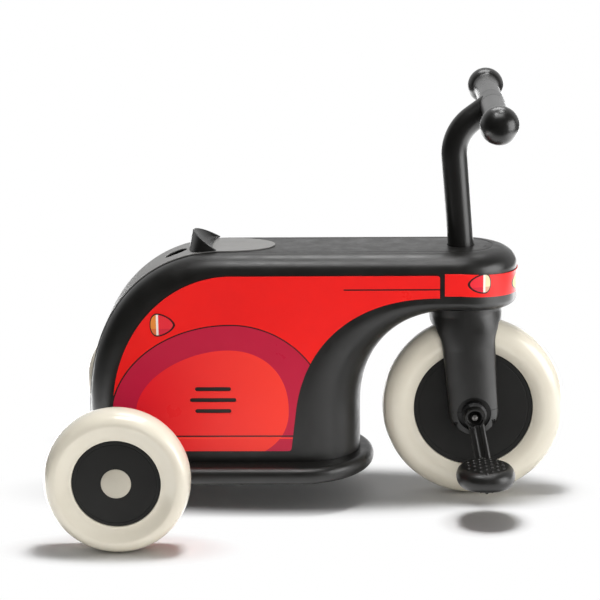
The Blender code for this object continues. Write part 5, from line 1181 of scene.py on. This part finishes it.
# %% [markdown]
# ## Fork and its end caps
# The fork is a moulded round bar about the steering axis. Seen from the side it is narrow at the two
# legs and flares out smoothly into the crown, so its blank is a stack of sections planed to a changing
# width, with a soft minimum that rounds the corner between flat and round. A drum about the axle then
# clears the wheel. At the axle the fork is parted from a screwed cap below on each leg.

# %% Fork blank
LEG_TIP, LEG_INNER = 0.023, TYRE_HALF_WIDTH + 0.0035
LEG_LOW, LEG_TOP = 0.0273, 0.0288
FLARE_START, FLARE_REACH, FLARE_POWER, FLARE_FULLNESS = CROWN_WAIST - 0.024, 0.019, 2.6, 0.3
TIP_ANGLES = (8, 16, 24, 32, 40, 48, 56, 63, 70, 76, 81, 85, 88)
FULLNESS_END = CROWN_UNDERSIDE + 0.004
CROWN_FILLET, FAR = 0.006, 0.060


def fork_half_width(height):
    """Half the fork's width seen from the side, at a height along the steering axis."""
    if height <= FLARE_START:
        return LEG_LOW + (LEG_TOP - LEG_LOW) * max(0.0, height) / FLARE_START
    share = (height - FLARE_START) / (CROWN_UNDERSIDE - FLARE_START)
    return LEG_TOP + FLARE_REACH * share**FLARE_POWER


def fork_fullness(height):
    """The power of the section: 2 is round, and the flare under the crown is a little fuller."""
    share = (height - FLARE_START) / (FULLNESS_END - FLARE_START)
    return 2 + FLARE_FULLNESS * sin(pi * min(1.0, max(0.0, share)))


def fork_stations():
    """Heights down the fork with its half-width at each, from the crown to the round tips."""
    heights = [CROWN_TOP - (CROWN_TOP - FLARE_START) * i / 32 for i in range(33)]
    heights += [FLARE_START * (1 - i / 6) for i in range(1, 7)]
    tips = [radians(angle) for angle in TIP_ANGLES]
    stations = [(height, fork_half_width(height)) for height in heights]
    return stations + [(-LEG_TIP * sin(angle), LEG_LOW * cos(angle)) for angle in tips]


def soft_minimum(a, b, sharpness=22):
    """The smaller of two reaches, with the corner between them rounded off."""
    return (a**-sharpness + b**-sharpness) ** (-1 / sharpness)


def fork_rings():
    """A bar about the steering axis whose two sides are planed to the fork's half-width."""
    rings = []
    for height, half_width in fork_stations():
        section = arc((0, 0), (CROWN_RADIUS, CROWN_RADIUS), fork_fullness(height), -90, 90, 64)[1:-1]
        near = [(soft_minimum(half_width, x), y, height) for x, y in section]
        far = [(-x, y, z) for x, y, z in reversed(near)]
        rings.append(near + far)
    return rings


def wheel_arch():
    """A drum about the axle that clears the tyre, with a fillet where it meets each leg."""
    centre = (CROWN_UNDERSIDE - CROWN_FILLET, CROWN_FILLET - LEG_INNER)
    right = round_arc(centre, CROWN_FILLET, -90, 0, 8)
    left = round_arc((centre[0], -centre[1]), CROWN_FILLET, 0, 90, 8)
    return placed(turned([(0, -LEG_INNER), *right, *left, (0, LEG_INNER)], 160), on_axle(0, 0))


# %% Fork
AXLE_BORE, BOSS_RADIUS, BOSS_FLOOR, BOSS_REACH = 0.0103, 0.0185, 0.034, 0.065
STEERER_RADIUS, STEERER_TOP = 0.019, HEAD_TOP - 0.021
BOLT_BORE, AXLE_BORE_REACH = 0.0043, 0.070
CAP_SCREW_X, CAP_SCREW_INSET, CAP_SCREW_SEAT = 0.0195, 0.0024, -0.009
CAP_SCREW_Y = sqrt(CROWN_RADIUS**2 - CAP_SCREW_X**2) - CAP_SCREW_INSET
CAP_PILOT, CAP_PILOT_TOP, CAP_HOLE_TOP, CAP_WELL = 0.0018, 0.011, 0.010, 0.0030


def axle_tools():
    """The bush's bore and the round recess in each leg's outer face."""
    recesses = [sideways(BOSS_RADIUS, BOSS_FLOOR, BOSS_REACH, side=side, segments=96) for _, side in SIDES]
    return [sideways(AXLE_BORE, -AXLE_BORE_REACH, AXLE_BORE_REACH), *recesses]


BLANK = workpiece("fork_blank", stacked(fork_rings(), 50), SATIN_BLACK)
fork = workpiece("moulded_fork", BLANK.data.copy(), SATIN_BLACK)
carve(fork, box((-FAR, -FAR, -FAR), (FAR, FAR, CAP_SEAM)))
steerer = rod(STEERER_RADIUS, CROWN_TOP - OVERCUT, STEERER_TOP, 64)
carve(fork, steerer, operation="UNION")
screw_spots = [(x, y) for x in (-CAP_SCREW_X, CAP_SCREW_X) for y in (-CAP_SCREW_Y, CAP_SCREW_Y)]
pilots = [upright(CAP_PILOT, 0.0, CAP_PILOT_TOP, spot, 20) for spot in screw_spots]
stem_bore = rod(STEM_RADIUS + FIT_GAP, STEM_FOOT - FIT_GAP, STEERER_TOP + OVERCUT)
bolt_bore = rod(BOLT_BORE, CROWN_WAIST, STEM_FOOT + OVERCUT, 32)
carve(fork, wheel_arch(), stem_bore, bolt_bore, *axle_tools(), *pilots)
placed(fork.data, STEERING_FRAME)
show(fork, "black_moulded_plastic", "fork", sharp=40)

# %% Fork end caps
for side_name, side in SIDES:
    cap = workpiece(f"axle_cap_{side_name}", BLANK.data.copy(), SATIN_BLACK)
    low, high = sorted((side * LEG_INNER, side * FAR))
    below_seam = box((-FAR, low, -FAR), (FAR, high, CAP_SEAM - FIT_GAP))
    carve(cap, below_seam, operation="INTERSECT")
    wells = []
    for spot in ((-CAP_SCREW_X, side * CAP_SCREW_Y), (CAP_SCREW_X, side * CAP_SCREW_Y)):
        wells.append(upright(CAP_WELL, -FAR, CAP_SCREW_SEAT, spot, 40))
        wells.append(upright(CAP_PILOT, -FAR, CAP_HOLE_TOP, spot, 20))
    carve(cap, *axle_tools(), *wells)
    placed(cap.data, STEERING_FRAME)
    show(cap, "black_moulded_plastic", f"fork_cap_{side_name}", sharp=40)
bpy.data.objects.remove(BLANK)

# %% [markdown]
# ## Cranks
# A crank is a moulded arm: square to the axle at both ends, and sloped outward between them so that
# the pedal clears the fork. A channel with a round floor and round ends sinks into its face, two tiny
# ejector holes lie beside it, and a hood holds the end of the axle. The arm is drawn upright from the
# axle, sloped, then turned; the channel's tool is sloped with it.

# %% Cranks
CRANK_LENGTH, CRANK_LEAN, CRANK_RISE = 0.0494, radians(11), 0.011
CRANK_INNER, CRANK_OUTER, CRANK_PROUD = 0.046, 0.056, 0.058
CRANK_ROOT_RADIUS, CRANK_HALF_WIDTH, CRANK_ROUNDING = 0.0115, 0.0087, 0.0026
CRANK_FOLD, CRANK_END_FOLD = 0.012, CRANK_LENGTH - CRANK_HALF_WIDTH
BOSS, HOOD, HOOD_DEPTH = 0.0108, 0.009, 0.0065
CHANNEL_RADIUS, CHANNEL_TOP, CHANNEL_FOOT, CHANNEL_LIFT = 0.0038, -0.004, -(CRANK_LENGTH - 0.006), 0.0012
EJECTOR_RADIUS, EJECTOR_DEPTH, EJECTOR_SPOTS = 0.0010, 0.003, ((-0.0065, -0.0095), (0.0052, -0.0095))
PEDAL_INNER, PIN_HOLE = 0.0715, 0.0043

root = round_arc((0, 0), CRANK_ROOT_RADIUS, -40, 220, 40)
CRANK_OUTLINE = root + round_arc((0, -CRANK_LENGTH), CRANK_HALF_WIDTH, 180, 360, 28)
channel_foot = round_arc((0, CHANNEL_FOOT + CHANNEL_RADIUS), CHANNEL_RADIUS, -90, 0, 10)[1:]
channel_top = round_arc((0, CHANNEL_TOP - CHANNEL_RADIUS), CHANNEL_RADIUS, 0, 90, 10)[:-1]
CHANNEL = [(0.0, CHANNEL_FOOT), *channel_foot, *channel_top, (0.0, CHANNEL_TOP)]


def crank_lean(side):
    """The turn of a crank about the axle; the left one stands half a turn from the right one."""
    return -CRANK_LEAN if side < 0 else pi - CRANK_LEAN


def sloped(mesh, side):
    """Slopes an arm outward between its two folds."""
    bm = bmesh.new()
    bm.from_mesh(mesh)
    for height in (-CRANK_FOLD, -CRANK_END_FOLD):
        parts = [*bm.verts, *bm.edges, *bm.faces]
        bmesh.ops.bisect_plane(bm, geom=parts, dist=0.00001, plane_co=(0, 0, height), plane_no=(0, 0, 1))
    for vert in bm.verts:
        share = (-vert.co.z - CRANK_FOLD) / (CRANK_END_FOLD - CRANK_FOLD)
        vert.co.y += side * CRANK_RISE * min(1.0, max(0.0, share))
    bm.to_mesh(mesh)
    bm.free()
    return mesh


for side_name, side in SIDES:
    arm_mesh = sloped(prism(CRANK_OUTLINE, side * CRANK_INNER, side * CRANK_OUTER), side)
    arm = workpiece(f"crank_arm_{side_name}", arm_mesh, SATIN_BLACK)
    round_edges(arm, CRANK_ROUNDING, 6, 50)
    carve(arm, sideways(BOSS, CRANK_INNER + OVERCUT, CRANK_PROUD, side=side), operation="UNION")
    channel_place = Matrix.Translation((0, side * (CRANK_OUTER + CHANNEL_LIFT), 0))
    tools = [sloped(placed(turned(CHANNEL, 40), channel_place), side)]
    tools.append(sideways(HOOD, CRANK_PROUD - HOOD_DEPTH, CRANK_PROUD + OVERCUT, side=side, segments=48))
    tools.append(sideways(CRANK_AXLE_BORE, CRANK_INNER - OVERCUT, CRANK_PROUD, side=side, segments=48))
    tools.append(sideways(PIN_HOLE, CRANK_INNER, PEDAL_INNER, z=-CRANK_LENGTH, side=side, segments=32))
    for x, z in EJECTOR_SPOTS:
        tools.append(sideways(EJECTOR_RADIUS, CRANK_OUTER - EJECTOR_DEPTH, CRANK_PROUD, x, z, side, 20))
    carve(arm, *tools)
    turn = Matrix.Rotation(crank_lean(side), 4, "Y")
    placed(arm.data, Matrix.Translation((FRONT_AXLE_X, 0, FRONT_RADIUS)) @ turn)
    show(arm, "black_moulded_plastic", f"crank_{side_name}", sharp=40)

# %% [markdown]
# ## Pedals
# A pedal is a rounded oval block with a field of small pointed studs on both faces for grip. Rings of
# its plan run from the middle of one face, a low dome, round the full rim to the other face. Each stud
# is a tiny turned cone with a blunt tip, and it stands at the height that the dome has under it.

# %% Pedals
PEDAL_HALF = (0.0313, 0.034, 0.0125)
PEDAL_PLAN, PEDAL_FLAT, RIM_HEIGHT = 2.3, 0.68, 0.0110
DOME_DRAWS = (0.03, 0.2, 0.36, 0.5, 0.6)  # how far out the dome's rings lie; 1 is the rim
PIN_DEPTH, PIN_BORE, SNAP_BORE, SNAP_START, BORE_ROOM = 0.054, 0.0044, 0.005, 0.0485, 0.001
STUD_COUNTS, STUD_COLUMN_PITCH, STUD_ROW_PITCH = (3, 4, 5, 6, 5, 4, 3), 0.0061, 0.0104
STUD_SIDE = [(0.0006, 0.00122), (0.0012, 0.0009), (0.0017, 0.0004), (0.0021, -0.0001), (0.0022, -0.0010)]
STUD = [(0.0, 0.0013), *STUD_SIDE, (0.0, -0.0010)]


def pedal_top(plan):
    """Height of a face above the pedal's middle: a low dome that rolls over into the rim."""
    if plan < PEDAL_FLAT:
        return RIM_HEIGHT + (PEDAL_HALF[2] - RIM_HEIGHT) * (1 - (plan / PEDAL_FLAT) ** 2)
    share = (plan - PEDAL_FLAT) / (1 - PEDAL_FLAT)
    return RIM_HEIGHT * sqrt(1 - share * share)


def pedal_rings():
    """Rings of the plan, from the middle of one face round the full rim to the other."""
    rim = [PEDAL_FLAT + (1 - PEDAL_FLAT) * sin(radians(7.5 * i)) for i in range(13)]
    levels = [(draw, pedal_top(draw)) for draw in (*DOME_DRAWS, *rim)]
    levels += [(draw, -height) for draw, height in levels[-2::-1]]
    rings = []
    for draw, height in levels:
        plan = arc((0, 0), (PEDAL_HALF[0] * draw, PEDAL_HALF[1] * draw), PEDAL_PLAN, 0, 360, 96)[:-1]
        rings.append([(x, y, height) for x, y in plan])
    return rings


def plan_of(x, y):
    """How far out a place lies in the pedal's plan; 1 is the rim."""
    return (abs(x / PEDAL_HALF[0]) ** PEDAL_PLAN + abs(y / PEDAL_HALF[1]) ** PEDAL_PLAN) ** (1 / PEDAL_PLAN)


def studs(face):
    """The studs of one face as one mesh."""
    one = turned(STUD, 14, 60)
    bm = bmesh.new()
    for column, count in enumerate(STUD_COUNTS):
        for row in range(count):
            x = (column - len(STUD_COUNTS) // 2) * STUD_COLUMN_PITCH
            y = (row - (count - 1) / 2) * STUD_ROW_PITCH
            lift = pedal_top(plan_of(x, y))
            start = len(bm.verts)
            bm.from_mesh(one)
            bm.verts.ensure_lookup_table()
            for vert in bm.verts[start:]:
                vert.co = Vector((vert.co.x + x, face * vert.co.y + y, face * (vert.co.z + lift)))
    bmesh.ops.recalc_face_normals(bm, faces=bm.faces)
    mesh = bpy.data.meshes.new("studs")
    bm.to_mesh(mesh)
    bm.free()
    return mesh


bore_end = PIN_DEPTH + BORE_ROOM
bore_profile = [(0.0, bore_end), (SNAP_BORE, bore_end), (SNAP_BORE, SNAP_START)]
bore_profile += [(PIN_BORE, SNAP_START - (SNAP_BORE - PIN_BORE)), (PIN_BORE, -OVERCUT), (0.0, -OVERCUT)]
for side_name, side in SIDES:
    pedal = workpiece(f"studded_pedal_{side_name}", stacked(pedal_rings()), SATIN_BLACK)
    carve(pedal, studs(1), studs(-1), operation="UNION")
    carve(pedal, placed(turned(bore_profile, 32), on_axle(0, 0, -side * PEDAL_HALF[1], side)))
    lean = crank_lean(side)
    x, z = FRONT_AXLE_X - CRANK_LENGTH * sin(lean), FRONT_RADIUS - CRANK_LENGTH * cos(lean)
    placed(pedal.data, Matrix.Translation((x, side * (PEDAL_INNER + PEDAL_HALF[1]), z)))
    show(pedal, "grip_plastic", f"pedal_{side_name}", sharp=40)

# %% [markdown]
# ## Small parts
# Bushes, nuts, washers, screws and pins already have their true shape in the CAD model. They keep it
# and only get their real finish, chosen by the material slot that the record gives each node, apart
# from the dull end of the crank axle and the fork caps' screws, which are painted near black as
# painted shade for their deep wells.

# %% Finishes of the CAD nodes that stay
FINISHES = {
    "black_moulded_plastic": SATIN_BLACK,
    "grip_plastic": GLOSS_BLACK,
    "black_painted_steel": POWDER_BLACK,
    "zinc_steel": ZINC_STEEL,
    "bush_nylon": DARK_NYLON,
}
# The fork caps' screws get the near-black steel, painted shade for their deep wells
SPECIAL = {"cap": SHADE_PAINTED_STEEL, "crank": DULL_STEEL}  # by the first word of a node's name
kept = 0
for row in frame["record"]["subparts"]:
    node = frame["nodes"][row["node"]]
    if node.hide_render:
        continue
    first_word = row["node"].split("_")[0]
    finish = SPECIAL.get(first_word, FINISHES[row["material_slot"]])
    if node.material_slots:
        node.material_slots[0].material = finish
    else:
        node.data.materials.append(finish)
    kept += 1
print(kept, "CAD nodes keep their shape")

# %% [markdown]
# ## Floor
# A product shot stands on white paper, lit so strongly that it turns pure white. The paper takes
# shadow only inside soft ovals under the body, each wheel and each pedal, so every shadow fades out
# within them. Inside the ovals the camera sees the paper a shade greyer than the colour it lights
# with. That is painted shade: it deepens the shadows and leaves a faint grey oval where no shadow falls.
# Elsewhere the camera and reflections see it as an even white. Reflections see it brighter still, as
# glossy plastic does beside flash-lit paper, out to the edges of the sheet and most of all to both
# sides of the trike.

# %% Floor
SHADOW_SPOTS = [((-0.03, 0.0), (0.31, 0.095)), ((FRONT_AXLE_X, 0.0), (0.13, 0.070))]
SHADOW_SPOTS += [((REAR_AXLE_X, side * WHEEL_Y), (0.120, 0.052)) for _, side in SIDES]
SHADOW_SPOTS += [((0.184, side * 0.108), (0.050, 0.048)) for _, side in SIDES]
SPOT_EDGE = (0.62, 1.12)
# The second paper colour is painted shade: a greyer paper that only the camera sees, inside the ovals
PAPER_LIT, PAPER_WITH_PAINTED_SHADE = (0.93, 0.93, 0.93, 1), (0.86, 0.86, 0.86, 1)
GLOSSY_PAPER, PAST_THE_EDGE = 3.0, 0.05
BACK_EDGE, FRONT_EDGE, NEAR_EDGE = (-0.70, -0.50), (1.15, 0.95), (-0.54, -0.38)
GLOW_MIDDLE_X, GLOW_ASIDE, GLOW = 0.10, (0.25, 0.55), (0.7, 1.9)
FLOOR_HALF = 12.0

PAPER, tree, shader = new_material("white_paper")
shader.inputs["Roughness"].default_value = 0.6
place = position(tree)
outside = 1.0
for middle, reach in SHADOW_SPOTS:
    offset = vector_maths(tree, "SUBTRACT", place, (*middle, 0))
    shrunk = vector_maths(tree, "MULTIPLY", offset, (1 / reach[0], 1 / reach[1], 0))
    distance = add_node(tree, "ShaderNodeVectorMath", {0: shrunk}, 1, operation="LENGTH")
    outside = maths(tree, "MINIMUM", outside, map_range(tree, distance, SPOT_EDGE, smooth=True))
rays = tree.nodes.new("ShaderNodeLightPath").outputs
seen = maths(tree, "MAXIMUM", rays["Is Camera Ray"], rays["Is Glossy Ray"])
seen = maths(tree, "MAXIMUM", seen, rays["Is Transmission Ray"])
# Painted shade: the camera sees the paper greyer inside the ovals than the colour it lights with
plug(tree, shader.inputs["Base Color"], mix_colour(tree, rays["Is Camera Ray"], PAPER_LIT, PAPER_WITH_PAINTED_SHADE))

x, y, _ = axes(tree, place)
shine = GLOSSY_PAPER
for value, edge in ((x, BACK_EDGE), (x, FRONT_EDGE), (y, NEAR_EDGE)):
    on_sheet = map_range(tree, value, edge, (PAST_THE_EDGE, 1.0), smooth=True)
    shine = maths(tree, "MULTIPLY", shine, on_sheet)
aside = maths(tree, "ABSOLUTE", maths(tree, "SUBTRACT", x, GLOW_MIDDLE_X))
shine = maths(tree, "MULTIPLY", shine, map_range(tree, aside, GLOW_ASIDE, GLOW))
strength = mix_value(tree, rays["Is Glossy Ray"], 1.0, shine)
white = add_node(tree, "ShaderNodeEmission", {"Strength": strength})
share = maths(tree, "MULTIPLY", outside, seen)
surface = add_node(tree, "ShaderNodeMixShader", {0: share, 1: shader.outputs[0], 2: white})
plug(tree, tree.nodes["Material Output"].inputs["Surface"], surface)

corners = [(x * FLOOR_HALF, y * FLOOR_HALF, 0) for x, y in ((-1, -1), (1, -1), (1, 1), (-1, 1))]
floor_mesh = bpy.data.meshes.new("paper_floor")
floor_mesh.from_pydata(corners, [], [(0, 1, 2, 3)])
paper_floor = workpiece("paper_floor", floor_mesh, PAPER)
print("floor:", paper_floor.name, "with", len(SHADOW_SPOTS), "soft ovals that take shadow")

# %% [markdown]
# ## Light
# The world fills every shadow a little, is white to the camera, and in reflections is a dark studio
# with a pale backdrop behind the trike. A small strong softbox overhead draws the shadows. A strip in
# the same place and three cards show only in the gloss, where they draw the bright lines along seat,
# head and bars. Two fills, from the right and from the front, light the trike but not the paper, so
# they lift its dark sides and leave the shadows alone.

# %% World
WORLD_FILL, DARK_STUDIO, BACKDROP, BACKDROP_EDGE = 0.25, 0.05, 0.85, (0.10, 0.55)

world = bpy.data.worlds.new("studio")
bpy.context.scene.world = world
world.use_nodes = True
tree = world.node_tree
background = tree.nodes["Background"]
rays = tree.nodes.new("ShaderNodeLightPath").outputs
seen = maths(tree, "MAXIMUM", rays["Is Camera Ray"], rays["Is Transmission Ray"])
_, towards_back, _ = axes(tree, add_node(tree, "ShaderNodeTexCoord"))
backdrop = map_range(tree, towards_back, BACKDROP_EDGE, (DARK_STUDIO, BACKDROP), smooth=True)
strength = map_range(tree, seen, end=(WORLD_FILL, 1.0))
plug(tree, background.inputs["Color"], (1, 1, 1, 1))
plug(tree, background.inputs["Strength"], mix_value(tree, rays["Is Glossy Ray"], strength, backdrop))

print("world fill:", WORLD_FILL, "of the backdrop's white")

# %% Lamps
OVERHEAD, UNDER_OVERHEAD = (0.10, -0.06, 1.65), (0.08, -0.03, 0.0)


def soft_lamp(name, place, aim, size, radiance, lights=True, reflected=True):
    """A softbox given by how bright its face looks; it may light, show in reflections, or both."""
    lamp = bpy.data.lights.new(name, "AREA")
    lamp.shape, lamp.size, lamp.size_y = "RECTANGLE", *size
    lamp.energy = radiance * pi * size[0] * size[1]
    holder = bpy.data.objects.new(name, lamp)
    bpy.context.scene.collection.objects.link(holder)
    holder.location = place
    holder.rotation_euler = (Vector(aim) - Vector(place)).to_track_quat("-Z", "Y").to_euler()
    holder.visible_diffuse, holder.visible_glossy, holder.visible_camera = lights, reflected, False
    return holder


soft_lamp("overhead_softbox", OVERHEAD, UNDER_OVERHEAD, (0.36, 0.30), 62.0, reflected=False)
soft_lamp("overhead_strip", OVERHEAD, UNDER_OVERHEAD, (0.90, 0.30), 22.0, lights=False)
soft_lamp("overhead_card", (0.10, -0.52, 1.60), (0.05, 0.0, 0.1), (0.90, 0.45), 7.0, lights=False)
soft_lamp("top_back_card", (0.12, 0.60, 1.35), (0.1, -0.1, 0.3), (0.70, 0.35), 9.0, lights=False)
soft_lamp("right_card", (1.15, -0.42, 0.45), (0.1, 0.0, 0.3), (0.80, 0.80), 8.0, lights=False)
fills = [
    soft_lamp("right_softbox", (1.20, -0.50, 0.60), (0.1, 0.0, 0.2), (0.60, 0.85), 4.0, reflected=False),
    soft_lamp("front_fill", (0.80, -2.50, 0.80), (0.0, 0.0, 0.15), (1.60, 1.20), 5.2, reflected=False),
]
off_the_paper = bpy.data.collections.new("kept_off_the_paper")
off_the_paper.objects.link(paper_floor)
off_the_paper.collection_objects[0].light_linking.link_state = "EXCLUDE"
for holder in fills:
    holder.light_linking.receiver_collection = off_the_paper
bpy.context.scene.view_settings.view_transform = "Standard"
